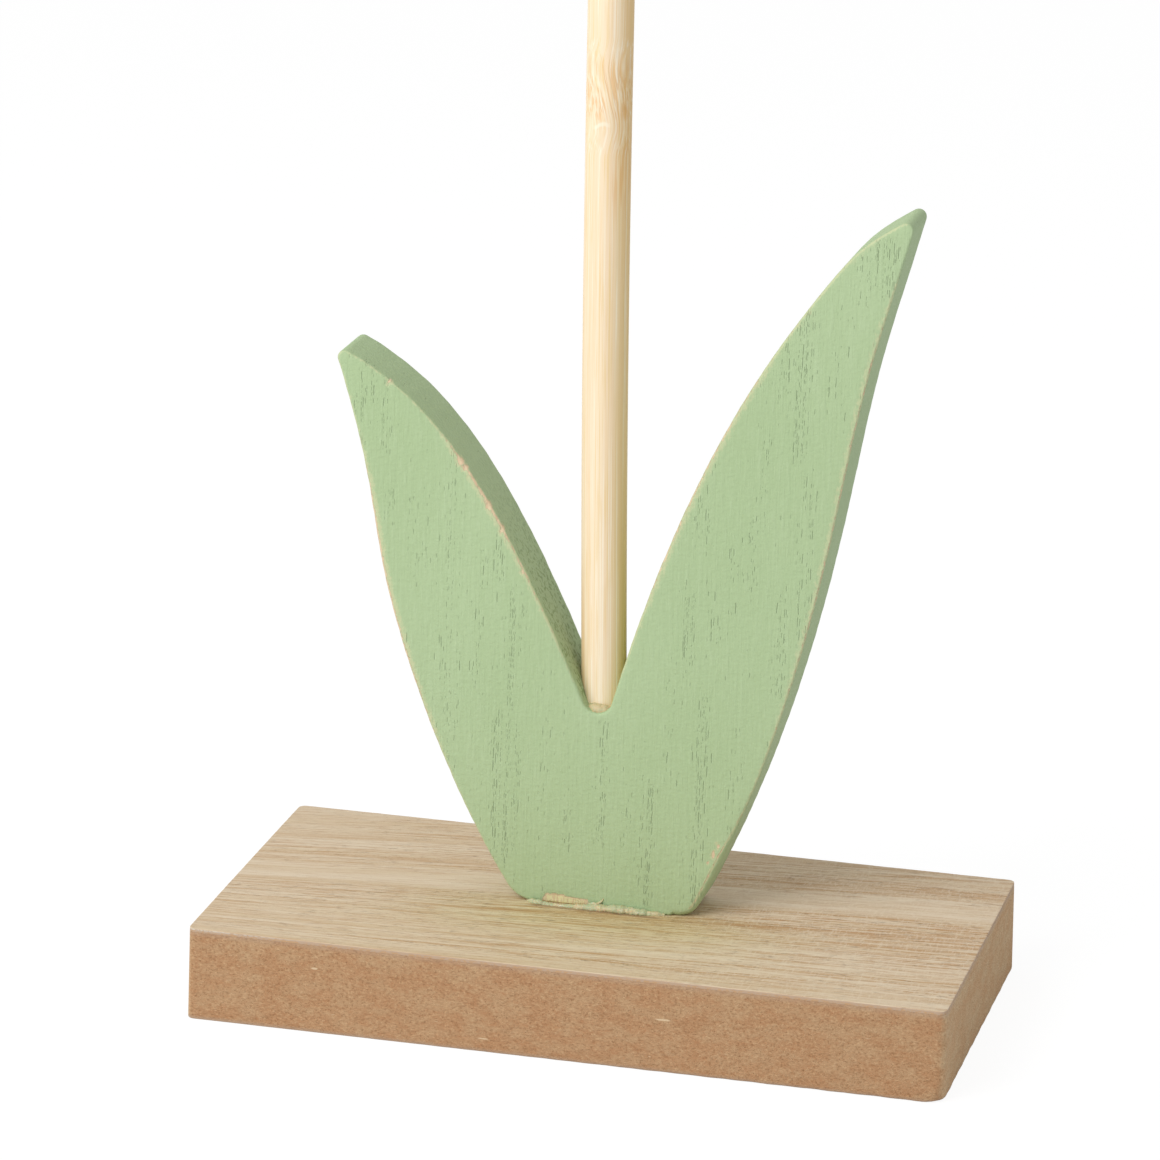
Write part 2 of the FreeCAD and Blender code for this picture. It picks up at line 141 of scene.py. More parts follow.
half_side = FLOOR_SIDE / 2
floor_mesh = bpy.data.meshes.new("studio_floor")
floor_mesh.from_pydata([(x, y, -FLOOR_DROP) for x, y in (
    (-half_side, -half_side), (half_side, -half_side), (half_side, half_side), (-half_side, half_side))],
    [], [(0, 1, 2, 3)])
floor_mesh.materials.append(floor_material)
floor = bpy.data.objects.new("studio_floor", floor_mesh)
scene.collection.objects.link(floor)

world = bpy.data.worlds.new("studio_surround")
scene.world = world
world.use_nodes = True
world.node_tree.nodes.clear()
tree = world.node_tree
strength = add(tree, "ShaderNodeMapRange", {
    "Value": to_stage(tree), "To Min": SURROUND_LIGHT, "To Max": 1.0})
surround = add(tree, "ShaderNodeBackground", {"Color": (1, 1, 1, 1), "Strength": strength.outputs[0]})
add(tree, "ShaderNodeOutputWorld", {"Surface": surround.outputs[0]})

lamp_data = bpy.data.lights.new("soft_lamp", "AREA")
lamp_data.shape = "SQUARE"
lamp_data.size = LAMP_SIDE
lamp_data.energy = LAMP_WATTS
lamp = bpy.data.objects.new("soft_lamp", lamp_data)
lamp.location = LAMP_PLACE
lamp.rotation_euler = (LAMP_AIM - LAMP_PLACE).to_track_quat("-Z", "Y").to_euler()
scene.collection.objects.link(lamp)

# The base board: a block of brown fibreboard, sawn on all four sides, with rounded upright corners
# and a lightly sanded bottom edge. Two screws come up through it from below, in countersunk holes.
BOARD_LOW, BOARD_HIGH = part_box("base_board")
BASE_CORNER_RADIUS = 1.0 * MM
BOARD_ARRIS = 0.5 * MM
SAWN_ARRIS = 0.08 * MM
BASE_OUTLINE_STEP = 0.3 * MM
BASE_FACE_GRID = 2.5 * MM
SCREW_SPACING = 14 * MM
SCREW_ROW = 2.5 * MM
SCREW_HOLE_RADIUS = 1.8 * MM
SCREW_HEAD_HOLE_RADIUS = 3.55 * MM
SCREW_HEAD_HOLE_DEPTH = 0.7 * MM
SCREW_TAPER = 1.75 * MM
HOLE_SIDES = 48
ARRIS_STEPS = 5
NEAREST_BATCH = 400
# inside a face, rows of points follow the edge at first, each this much farther from the last
ROW_GROWTH = 1.5
LEAST_GAP = 1e-9
BOARD_SLIVERS = (
    # middle, and half lengths: the pale splinters that show in the front
    ((-32.6 * MM, -25 * MM, 8.85 * MM), (0.5 * MM, 1 * MM, 0.16 * MM)),
    ((13.6 * MM, -25 * MM, 7.2 * MM), (1.1 * MM, 1 * MM, 0.14 * MM)),
    ((-10.0 * MM, -25 * MM, 1.85 * MM), (0.8 * MM, 1 * MM, 0.1 * MM)),
)


def srgb(red, green, blue):
    """A colour as a picture gives it, 0 to 255, as the light values that a shader takes."""
    parts = np.array((red, green, blue)) / 255
    light = np.where(parts <= 0.04045, parts / 12.92, ((parts + 0.055) / 1.055) ** 2.4)
    return (*light.tolist(), 1)


def evenly(points, step):
    """Points at equal steps along a closed outline."""
    closed = np.vstack([points, points[:1]])
    along = np.concatenate([[0], np.cumsum(np.linalg.norm(np.diff(closed, axis=0), axis=1))])
    places = np.linspace(0, along[-1], int(round(along[-1] / step)), endpoint=False)
    return np.column_stack([np.interp(places, along, closed[:, axis]) for axis in (0, 1)])


def inward(outline):
    """The directions that point into an outline that runs anticlockwise."""
    ahead = np.roll(outline, -1, axis=0) - np.roll(outline, 1, axis=0)
    ahead /= np.linalg.norm(ahead, axis=1)[:, None]
    return np.column_stack([-ahead[:, 1], ahead[:, 0]])


def nearest(points, outline):
    """For each point, the nearest outline point's number and how far inside of it the point lies."""
    normals = inward(outline)
    numbers = np.empty(len(points), int)
    depths = np.empty(len(points))
    for start in range(0, len(points), NEAREST_BATCH):
        part = points[start:start + NEAREST_BATCH]
        away = part[:, None, :] - outline[None, :, :]
        closest = np.argmin((away ** 2).sum(2), axis=1)
        offset = part - outline[closest]
        inside = (offset * normals[closest]).sum(1) > 0
        numbers[start:start + NEAREST_BATCH] = closest
        depths[start:start + NEAREST_BATCH] = np.where(inside, 1, -1) * np.linalg.norm(offset, axis=1)
    return numbers, depths


def ring_faces(first, second, count):
    """The faces between two closed rings of points, given the number of each ring's first point."""
    return [(first + item, first + (item + 1) % count, second + (item + 1) % count, second + item)
            for item in range(count)]


def flat_stock(outline, low, high, low_arris, high_arris, grid, side_rows=8, holes=()):
    """A flat piece cut to an outline, its arrises rounded and its faces meshed to carry marks.

    The arrises are radii, one for each outline point. A hole is a middle and its rings of radius and
    height. Returns the points as across, along and height, the faces, and for each point how far it
    lies past the middle of the nearer arris, on the side, or before it, on the face, as less than 0.
    """
    count = len(outline)
    normals = inward(outline)
    rings = []
    past = []
    turns = np.linspace(0, math.pi / 2, ARRIS_STEPS + 1)
    for turn in turns:
        rings.append((low_arris * (1 - math.sin(turn)), low + low_arris * (1 - math.cos(turn))))
        past.append(low_arris * (turn - math.pi / 4))
    for share in np.linspace(0, 1, side_rows + 2)[1:-1]:
        bottom, top = low + low_arris, high - high_arris
        rings.append((np.zeros(count), bottom + (top - bottom) * share))
        past.append((top - bottom) * min(share, 1 - share) + low_arris * math.pi / 4)
    for turn in turns[::-1]:
        rings.append((high_arris * (1 - math.sin(turn)), high - high_arris * (1 - math.cos(turn))))
        past.append(high_arris * (turn - math.pi / 4))
    points = [np.column_stack([outline + normals * inset[:, None], height]) for inset, height in rings]
    faces = []
    for row in range(len(rings) - 1):
        faces += ring_faces(row * count, (row + 1) * count, count)
    total = count * len(rings)
    hole_loops = []
    for middle, hole_rings in holes:
        angles = np.linspace(0, 2 * math.pi, HOLE_SIDES, endpoint=False)
        circle = np.column_stack([np.cos(angles), np.sin(angles)])
        for number, (radius, height) in enumerate(hole_rings):
            points.append(np.column_stack([np.array(middle) + circle * radius, np.full(HOLE_SIDES, height)]))
            past.append(np.full(HOLE_SIDES, 1.0))
            if number:
                faces += ring_faces(total - HOLE_SIDES, total, HOLE_SIDES)
            if number in (0, len(hole_rings) - 1):
                hole_loops.append((number == 0, total, np.array(middle), radius))
            total += HOLE_SIDES
    spread = np.arange(outline[:, 0].min(), outline[:, 0].max(), grid)
    climb = np.arange(outline[:, 1].min(), outline[:, 1].max(), grid)
    shifted = [(x + (row % 2) * grid / 2, y) for row, y in enumerate(climb) for x in spread]
    for at_low, arris, height in ((True, low_arris, low), (False, high_arris, high)):
        first = 0 if at_low else count * (len(rings) - 1)
        own_holes = [(start, middle, radius)
                     for lower, start, middle, radius in hole_loops if lower == at_low]
        loops = [(first, count)] + [(start, HOLE_SIDES) for start, _, _ in own_holes]
        inner = []
        reach = arris.max()
        step = grid / 4
        skip = 1
        while reach + step < grid * 3:
            reach += step
            inner.append((outline + normals * reach)[::skip])
            step *= ROW_GROWTH
            skip += 1 if skip < 4 else 0
        candidates = np.vstack(inner + [np.array(shifted)])
        row_steps = [grid / 4 * ROW_GROWTH ** number for number in range(len(inner))]
        row_depths = np.cumsum([arris.max()] + row_steps)[1:] - grid / 10
        limits = [np.full(len(part), depth) for part, depth in zip(inner, row_depths)]
        limits = np.concatenate(limits + [np.full(len(shifted), reach + step * 0.5)])
        _, depths = nearest(candidates, outline)
        kept = depths > limits
        for _, middle, radius in own_holes:
            kept &= np.linalg.norm(candidates - middle, axis=1) > radius + grid / 3
        inner_points = candidates[kept]
        border = [points_at for start, length in loops for points_at in range(start, start + length)]
        flat = np.vstack(points)[border][:, :2]
        edges = []
        offset = 0
        for _, length in loops:
            edges += [(offset + item, offset + (item + 1) % length) for item in range(length)]
            offset += length
        everything = [Vector(p) for p in np.vstack([flat, inner_points])]
        found = delaunay_2d_cdt(everything, edges, [], 1, LEAST_GAP)
        numbers = border + list(range(total, total + len(inner_points)))
        named = [numbers[sources[0]] for sources in found[3]]
        for triangle in found[2]:
            middle_point = np.mean([np.array(found[0][corner]) for corner in triangle], axis=0)
            if not any(np.linalg.norm(middle_point - middle) < radius for _, middle, radius in own_holes):
                faces.append(tuple(named[corner] for corner in triangle))
        points.append(np.column_stack([inner_points, np.full(len(inner_points), height)]))
        past.append(-depths[kept] + arris.max() * (1 - math.pi / 4))
        total += len(inner_points)
    return np.vstack(points), faces, np.concatenate(past)


def new_piece(name, points, faces, material):
    """A smooth mesh at the origin, its faces pointing outwards."""
    mesh = bpy.data.meshes.new(name)
    mesh.from_pydata([tuple(point) for point in points], [], faces)
    shape = bmesh.new()
    shape.from_mesh(mesh)
    bmesh.ops.recalc_face_normals(shape, faces=shape.faces)
    shape.to_mesh(mesh)
    shape.free()
    mesh.polygons.foreach_set("use_smooth", [True] * len(mesh.polygons))
    mesh.materials.append(material)
    piece = bpy.data.objects.new(name, mesh)
    scene.collection.objects.link(piece)
    return piece


def keep_marks(piece, name, values):
    """Stores one number for each of a mesh's points, for its material to read."""
    marks = piece.data.attributes.new(name, "FLOAT", "POINT")
    marks.data.foreach_set("value", np.asarray(values, np.float32))


def stands_for(piece, node):
    """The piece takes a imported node's place and moves with the object's one body."""
    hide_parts(node)
    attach(piece, "root")


def rounded_rectangle(low, high, radius):
    """A rectangle's outline with rounded corners, anticlockwise."""
    points = []
    for number, (x, y) in enumerate(((high.x, low.y), (high.x, high.y), (low.x, high.y), (low.x, low.y))):
        middle = np.array([x - math.copysign(radius, x), y - math.copysign(radius, y)])
        for turn in np.linspace(0, math.pi / 2, 9):
            angle = turn + (number - 1) * math.pi / 2
            points.append(middle + radius * np.array([math.cos(angle), math.sin(angle)]))
    return np.array(points)


def waves(places, seed, *lengths):
    """Smooth random ups and downs along a closed line, from -1 to 1, of the given wave lengths."""
    chance = np.random.default_rng(seed)
    whole = places[-1] + places[1]
    total = np.zeros(len(places))
    for length in lengths:
        turns = max(1, round(whole / length))
        for extra in (0, 1, 2):
            phase = chance.uniform(0, 2 * math.pi)
            total += np.sin(2 * math.pi * (turns + extra) * places / whole + phase) / 3
    return total / len(lengths)


def run_of(outline):
    """How far along the outline each of its points is."""
    steps = np.linalg.norm(np.diff(outline, axis=0), axis=1)
    return np.concatenate([[0], np.cumsum(steps)])


def smooth_step(tree, value, low, high):
    """0 below low, 1 above high, with a soft passage. Low may be the larger."""
    return add(tree, "ShaderNodeMapRange", {"Value": value, "From Min": low, "From Max": high},
               interpolation_type="SMOOTHSTEP").outputs[0]


def blend(tree, share, first, second, how="MIX"):
    """Mixes two colours."""
    return add(tree, "ShaderNodeMix", {0: share, 6: first, 7: second}, data_type="RGBA",
               blend_type=how).outputs[2]


def vectors(tree, operation, first, second=(0, 0, 0), scale=1.0):
    """One sum on directions. A length or a dot product gives a number, the others a direction."""
    more = {"Scale": scale} if operation == "SCALE" else {1: second}
    made = add(tree, "ShaderNodeVectorMath", {0: first, **more}, operation=operation)
    return made.outputs["Value" if operation in ("LENGTH", "DOT_PRODUCT") else "Vector"]


def vector_of(tree, x, y=0.0, z=0.0):
    """A direction or place from its three parts."""
    return add(tree, "ShaderNodeCombineXYZ", {0: x, 1: y, 2: z}).outputs[0]


def parts_of(tree, vector):
    """The three parts of a direction or place."""
    return add(tree, "ShaderNodeSeparateXYZ", {0: vector}).outputs


def place_in(tree):
    """Where a point lies in its object."""
    return add(tree, "ShaderNodeTexCoord").outputs["Object"]


def mark_of(tree, name, kind="Fac"):
    """What keep_marks or a geometry tree has stored for a point."""
    return add(tree, "ShaderNodeAttribute", attribute_name=name).outputs[kind]


def laid(tree, colour, *layers):
    """Lays colours over one another, each where its cover says and no thicker than its share."""
    for cover, share, tint in layers:
        colour = blend(tree, times(tree, cover, share), colour, tint)
    return colour


def layered(tree, colour, *layers):
    """Lays colours over one another, each up to its share where its value passes from low to high."""
    for value, low, high, share, tint in layers:
        colour = laid(tree, colour, (smooth_step(tree, value, low, high), share, tint))
    return colour


def noise_in(tree, place, cells, detail=3.0, roughness=0.5, turned=(0, 0, 0)):
    """Noise in an object, its cells as wide, deep and high as the given millimetres."""
    counted = add(tree, "ShaderNodeMapping", {"Vector": place, "Rotation": turned,
                                              "Scale": [1 / (size * MM) for size in cells]})
    return add(tree, "ShaderNodeTexNoise", {"Vector": counted.outputs[0], "Scale": 1.0, "Detail": detail,
                                            "Roughness": roughness}).outputs[0]


def finish_material(tree, colour, roughness, height, depth, gloss=0.5, **more):
    """The shader of a surface, with its bumps of the given depth."""
    bump = add(tree, "ShaderNodeBump", {"Height": height, "Distance": depth, "Strength": 1.0})
    surface = add(tree, "ShaderNodeBsdfPrincipled", {
        "Base Color": colour, "Roughness": roughness, "Normal": bump.outputs[0], "Specular IOR Level": gloss,
        **more})
    add(tree, "ShaderNodeOutputMaterial", {"Surface": surface.outputs[0]})


# fibreboard: short fibres pressed in layers, so its flecks lie flat, and its two faces are closer
FIBRE_BROWN = srgb(193, 156, 119)
FIBRE_DARK = srgb(146, 106, 70)
FIBRE_RED = srgb(182, 128, 88)
FIBRE_PALE = srgb(224, 192, 150)
FIBRE_SKIN = srgb(186, 162, 140)
FIBRE_RED_SHARE = 0.4
# the sawn ends' tint, partly painted light
SAWN_END_TINT_AND_LIFT = (1.24, 1.42, 1.54)
SKIN_DEPTH = 0.8 * MM
SLIVER_PALE = srgb(232, 208, 172)

fibreboard, tree = new_material("fibreboard")
place = place_in(tree)
board_x, _, board_z = parts_of(tree, place)
clouds = noise_in(tree, place, (5, 5, 2.4), detail=4)
mottle = noise_in(tree, place, (0.9, 0.9, 0.5), detail=3, roughness=0.6)
flecks = noise_in(tree, place, (0.34, 0.34, 0.24), detail=4, roughness=0.65)
specks = noise_in(tree, place, (0.26, 0.26, 0.18), detail=2, roughness=0.6)
splinters = noise_in(tree, place, (1.4, 1.4, 0.24), detail=1)
reddish = blend(tree, FIBRE_RED_SHARE, FIBRE_BROWN, FIBRE_RED)
colour = blend(tree, smooth_step(tree, clouds, 0.38, 0.62), reddish, FIBRE_BROWN)
colour = layered(
    tree, colour,
    (mottle, 0.54, 0.7, 0.2, FIBRE_PALE), (mottle, 0.48, 0.32, 0.3, FIBRE_RED),
    (flecks, 0.52, 0.7, 0.5, FIBRE_PALE), (flecks, 0.48, 0.32, 0.6, FIBRE_DARK),
    (specks, 0.6, 0.72, 0.5, FIBRE_RED), (specks, 0.37, 0.27, 0.9, FIBRE_DARK),
    (splinters, 0.76, 0.8, 0.5, SLIVER_PALE))
top_skin = smooth_step(tree, board_z, BOARD_HIGH.z - SKIN_DEPTH, BOARD_HIGH.z - SKIN_DEPTH / 8)
low_skin = smooth_step(tree, board_z, BOARD_LOW.z + SKIN_DEPTH * 7 / 8, BOARD_LOW.z)
skin = math_of(tree, "MAXIMUM", times(tree, top_skin, 0.3), times(tree, low_skin, 0.8))
colour = blend(tree, skin, colour, FIBRE_SKIN)
for middle, half in BOARD_SLIVERS:
    apart = vectors(tree, "DIVIDE", vectors(tree, "SUBTRACT", place, middle), half)
    colour = layered(tree, colour, (vectors(tree, "LENGTH", apart), 1.1, 0.6, 0.85, SLIVER_PALE))
# the two sawn ends are greyer and paler than the long sides: partly their own colour, partly painted light
# that lifts the end turned away from the lamp
at_end = smooth_step(tree, math_of(tree, "ABSOLUTE", board_x), BOARD_HIGH.x - SKIN_DEPTH,
                     BOARD_HIGH.x - SKIN_DEPTH / 8)
colour = blend(tree, at_end, colour, (*SAWN_END_TINT_AND_LIFT, 1), how="MULTIPLY")
rough_height = math_of(tree, "MULTIPLY_ADD", specks, 0.35, times(tree, flecks, 0.65))
finish_material(tree, colour, 0.9, rough_height, 0.3 * MM, gloss=0.15)

# the block is sawn a little out of square: the top has lost this much at two of its corners
TOP_CORNER_SHIFTS = {(-1, -1): (0.26 * MM, 0, 0), (1, 1): (-0.2 * MM, 0, 0)}
# and the lower front right corner is knocked round
KNOCK_REACH = 2.8 * MM
KNOCK_SHIFT = (-0.75 * MM, 0.35 * MM, 0.35 * MM)
# and the saw left each layer's edge a little uneven
BOARD_UNEVENNESS = 0.02 * MM
VENEER_UNEVENNESS = 0.03 * MM
# the lower arris is wider towards the right, in shares of the board's arris
ARRIS_MIDDLE_SHARE = 0.62
ARRIS_CHANGE_SHARE = 0.38


def sawn(points):
    """Moves the top of the base out of square, less and less towards the underside."""
    moved = np.array(points)
    across = points[:, 0] / BOARD_HIGH.x
    along = points[:, 1] / BOARD_HIGH.y
    up = np.clip((points[:, 2] - BOARD_LOW.z) / (BOARD_HIGH.z - BOARD_LOW.z), 0, 1)
    for (side, end), shift in TOP_CORNER_SHIFTS.items():
        weight = np.clip((1 + side * across) / 2, 0, 1) * np.clip((1 + end * along) / 2, 0, 1)
        moved += (weight ** 1.6 * up)[:, None] * np.array(shift)
    reach = np.linalg.norm(points - np.array((BOARD_HIGH.x, BOARD_LOW.y, BOARD_LOW.z)), axis=1)
    moved += (np.clip(1 - reach / KNOCK_REACH, 0, 1) ** 2)[:, None] * np.array(KNOCK_SHIFT)
    return moved


base_outline = evenly(rounded_rectangle(BOARD_LOW, BOARD_HIGH, BASE_CORNER_RADIUS), BASE_OUTLINE_STEP)
base_run = run_of(base_outline)
board_outline = base_outline + inward(base_outline) * (
    BOARD_UNEVENNESS * (1 + waves(base_run, 11, 3 * MM, 1.2 * MM, 0.8 * MM)))[:, None]
screw_middles = [(-SCREW_SPACING / 2, SCREW_ROW), (SCREW_SPACING / 2, SCREW_ROW)]
board_holes = [(middle, (
    (SCREW_HEAD_HOLE_RADIUS, BOARD_LOW.z),
    (SCREW_HEAD_HOLE_RADIUS, BOARD_LOW.z + SCREW_HEAD_HOLE_DEPTH),
    (SCREW_HOLE_RADIUS, BOARD_LOW.z + SCREW_HEAD_HOLE_DEPTH + SCREW_TAPER),
    (SCREW_HOLE_RADIUS, BOARD_HIGH.z))) for middle in screw_middles]
low_arris = BOARD_ARRIS * (ARRIS_MIDDLE_SHARE + ARRIS_CHANGE_SHARE * base_outline[:, 0] / BOARD_HIGH.x)
board_points, board_faces, _ = flat_stock(
    board_outline, BOARD_LOW.z, BOARD_HIGH.z,
    low_arris * (1 + 0.3 * waves(base_run, 12, 9 * MM, 4 * MM)),
    SAWN_ARRIS * (1 + 0.4 * waves(base_run, 13, 5 * MM, 2 * MM)),
    BASE_FACE_GRID, holes=board_holes)
board = new_piece("board", sawn(board_points), board_faces, fibreboard)
stands_for(board, "base_board")

# The veneer: half a millimetre of pale open-grained wood, pressed on the board's top and sawn with
# it. Its grain runs along the base, turned by some degrees at the back left.
VENEER_LOW, VENEER_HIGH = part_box("base_veneer")
VENEER_ARRIS = 0.1 * MM
GRAIN_SLOPE = 0.128
GRAIN_BEND = -0.5
GRAIN_WANDER = 1.2 * MM
# the stretch of the base's width over which the slope of the grain sets in
SLOPE_START = -28 * MM
STRIPE_WIDTH = 1.35 * MM
# where the painted shadow under the foot's glue lies, and the painted green bounce light before the foot
BEAD_SHADOW_PLACE = -3.35 * MM
BEAD_SHADOW_MIDDLE = -1.0 * MM
VENEER_BOUNCE_SHARES = (0.94, 0.97, 0.86)
VENEER_PALE = srgb(228, 210, 184)
VENEER_TAN = srgb(214, 190, 156)
VENEER_LINE = srgb(184, 140, 94)
VENEER_PORE = srgb(136, 102, 72)
# the whitish line on the veneer's edge is a painted highlight
VENEER_EDGE_HIGHLIGHT = srgb(206, 196, 180)
VENEER_CUT = srgb(190, 164, 140)
# how streaky the wood is, as pairs of share of the width from the front and streakiness
VENEER_STREAK_SHARES = (
    (0.0, 0.3), (0.08, 0.35), (0.11, 1.0), (0.135, 0.3), (0.155, 0.9), (0.18, 0.4),
    (0.25, 0.6), (0.36, 0.85), (0.47, 1.0), (0.51, 1.0), (0.535, 0.2), (0.63, 0.15),
    (0.67, 0.6), (0.78, 0.8), (0.88, 0.35), (0.94, 0.7), (1.0, 0.5),
)

veneer_material, tree = new_material("veneer")
place = place_in(tree)
x, y, z = parts_of(tree, place)
# the grain's own coordinate: how far a line of grain lies behind the middle, less its slope and bend
bent = math_of(tree, "MULTIPLY_ADD", x, GRAIN_SLOPE, times(tree, times(tree, x, x), GRAIN_BEND))
back_share = add(tree, "ShaderNodeMapRange", {
    "Value": y, "From Min": SLOPE_START, "From Max": 0.0}).outputs[0]
wander = noise_in(tree, place, (26, 9, 9), detail=2)
grain_row = math_of(tree, "SUBTRACT", y, times(tree, bent, back_share))
grain_row = math_of(tree, "MULTIPLY_ADD", wander, GRAIN_WANDER, grain_row)
grain_place = vector_of(tree, x, grain_row, z)
bands = noise_in(tree, grain_place, (90, 2.2, 50), detail=4, roughness=0.65)
fine_lines = noise_in(tree, grain_place, (13, 0.19, 5), detail=2, roughness=0.6)
short_lines = noise_in(tree, grain_place, (2.8, 0.14, 5), detail=1, roughness=0.5)
pores = noise_in(tree, grain_place, (1.5, 0.15, 5), detail=2, roughness=0.6)
cross_flecks = noise_in(tree, grain_place, (0.3, 1.3, 5), detail=2, roughness=0.6)
stripes = add(tree, "ShaderNodeTexWave", {
    "Vector": grain_place, "Scale": 1 / (20 * STRIPE_WIDTH), "Distortion": 3.0, "Detail": 3.0,
    "Detail Scale": 90.0}, bands_direction="Y").outputs["Fac"]
streaky = add(tree, "ShaderNodeValToRGB", {"Fac": add(tree, "ShaderNodeMapRange", {
    "Value": grain_row, "From Min": -26 * MM, "From Max": 28 * MM}).outputs[0]})
while len(streaky.color_ramp.elements) < len(VENEER_STREAK_SHARES):
    streaky.color_ramp.elements.new(0.5)
for element, (where, grey) in zip(streaky.color_ramp.elements, VENEER_STREAK_SHARES):
    element.position = where
    element.color = (grey, grey, grey, 1)
calm = add(tree, "ShaderNodeMapRange", {
    "Value": x, "From Min": -45 * MM, "From Max": 0.0, "To Min": 0.6, "To Max": 1.0}).outputs[0]
streakiness = times(tree, streaky.outputs[0], calm)
colour = layered(tree, VENEER_PALE, (bands, 0.38, 0.62, 0.75, VENEER_TAN))
stripe_share = times(tree, smooth_step(tree, stripes, 0.62, 0.95), smooth_step(tree, bands, 0.42, 0.55))
stripe_share = times(tree, stripe_share, streakiness)
line_share = times(tree, smooth_step(tree, fine_lines, 0.53, 0.59), math_of(
    tree, "MULTIPLY_ADD", streakiness, 0.8, 0.15))
short_share = times(tree, smooth_step(tree, short_lines, 0.57, 0.63), math_of(
    tree, "MULTIPLY_ADD", streakiness, 0.8, 0.2))
pore_share = times(tree, smooth_step(tree, pores, 0.62, 0.72), math_of(
    tree, "MULTIPLY_ADD", streakiness, 0.8, 0.15))
light_lines = smooth_step(tree, fine_lines, 0.46, 0.32)
fleck_share = times(tree, smooth_step(tree, cross_flecks, 0.52, 0.66), smooth_step(tree, x, 0.0, 20 * MM))
colour = laid(
    tree, colour,
    (streakiness, 0.35, VENEER_TAN), (stripe_share, 0.45, VENEER_LINE), (line_share, 0.95, VENEER_LINE),
    (short_share, 0.75, VENEER_LINE), (pore_share, 0.55, VENEER_PORE), (light_lines, 0.55, VENEER_PALE),
    (fleck_share, 0.4, VENEER_PALE))
# painted light: the green light that the leaves cast back tints and slightly darkens the wood before the
# foot
painted_veneer_bounce = times(tree, smooth_step(tree, math_of(tree, "ABSOLUTE", x), 34 * MM, 10 * MM), times(
    tree, smooth_step(tree, y, -19 * MM, -6 * MM), smooth_step(tree, y, 0.0, -2 * MM)))
colour = blend(tree, painted_veneer_bounce, colour, (*VENEER_BOUNCE_SHARES, 1), how="MULTIPLY")
# painted shadow: a brown line of contact shade on the wood just before the glue bead along the foot
from_bead_shadow = math_of(tree, "ABSOLUTE", math_of(tree, "SUBTRACT", y, BEAD_SHADOW_PLACE))
from_bead_shadow_middle = math_of(tree, "ABSOLUTE", math_of(tree, "SUBTRACT", x, BEAD_SHADOW_MIDDLE))
painted_bead_shadow = times(tree, smooth_step(tree, from_bead_shadow, 0.45 * MM, 0.2 * MM),
              smooth_step(tree, from_bead_shadow_middle, 9.6 * MM, 8 * MM))
colour = laid(tree, colour, (painted_bead_shadow, 0.6, VENEER_PORE))
# its cut side: a whitish line along the top of the edge towards the left end, a painted highlight, over a
# band that the saw smeared with board dust
edge_mottle = noise_in(tree, place, (0.5, 0.5, 0.3), detail=3)
cut_colour = blend(tree, smooth_step(tree, edge_mottle, 0.42, 0.6), VENEER_CUT, FIBRE_BROWN)
edge_colour = blend(tree, smooth_step(tree, edge_mottle, 0.45, 0.62), VENEER_EDGE_HIGHLIGHT, VENEER_CUT)
edge_colour = blend(tree, smooth_step(tree, x, -48 * MM, -30 * MM), edge_colour, VENEER_CUT)
below_top = mark_of(tree, "below_top")
edge_colour = blend(tree, smooth_step(tree, below_top, 0.18 * MM, 0.26 * MM), edge_colour, cut_colour)
on_edge = smooth_step(tree, below_top, 0.03 * MM, 0.09 * MM)
colour = blend(tree, on_edge, colour, edge_colour)
veneer_height = math_of(tree, "MULTIPLY_ADD", pore_share, -0.8, times(tree, fine_lines, -0.5))
finish_material(tree, colour, 0.65, veneer_height, 0.12 * MM, gloss=0.25)

veneer_holes = [(middle, ((SCREW_HOLE_RADIUS, VENEER_LOW.z), (SCREW_HOLE_RADIUS, VENEER_HIGH.z)))
                for middle in screw_middles]
veneer_outline = base_outline + inward(base_outline) * (
    VENEER_UNEVENNESS * (1 + waves(base_run, 21, 4 * MM, 1.5 * MM, 0.9 * MM)))[:, None]
veneer_points, veneer_faces, _ = flat_stock(
    veneer_outline, VENEER_LOW.z, VENEER_HIGH.z, np.full(len(base_run), SAWN_ARRIS / 4),
    VENEER_ARRIS * (1 + 0.5 * waves(base_run, 22, 12 * MM, 5 * MM)), BASE_FACE_GRID, side_rows=2,
    holes=veneer_holes)
veneer = new_piece("veneer", sawn(veneer_points), veneer_faces, veneer_material)
keep_marks(veneer, "below_top", VENEER_HIGH.z - veneer_points[:, 2])
stands_for(veneer, "base_veneer")

# The leaf pair: both leaves and their foot in one cut-out of 9 mm wood, painted mint green. The
# arrises are sanded through to the wood in places, and open pores show under the thin paint.
LEAF_LOW, LEAF_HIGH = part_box("leaf_pair")
LEAF_FRONT, LEAF_BACK = LEAF_LOW.y, LEAF_HIGH.y
LEAF_SPAN = 76 * MM
LEAF_RISE = 96.2 * MM
LEAF_TIP_RADIUS = 1.0 * MM
LEFT_FOOT_RADIUS = 4.5 * MM
RIGHT_FOOT_RADIUS = 3.0 * MM
NOTCH_RADIUS = 2.0 * MM
PAINTED_ARRIS = 0.36 * MM
WIDE_ARRIS = 0.62 * MM
WIDE_ARRIS_TOP = 30 * MM
WIDE_ARRIS_FADE = 10 * MM
WIDE_ARRIS_LEFT_END = 9 * MM
SAW_WANDER = 0.05 * MM
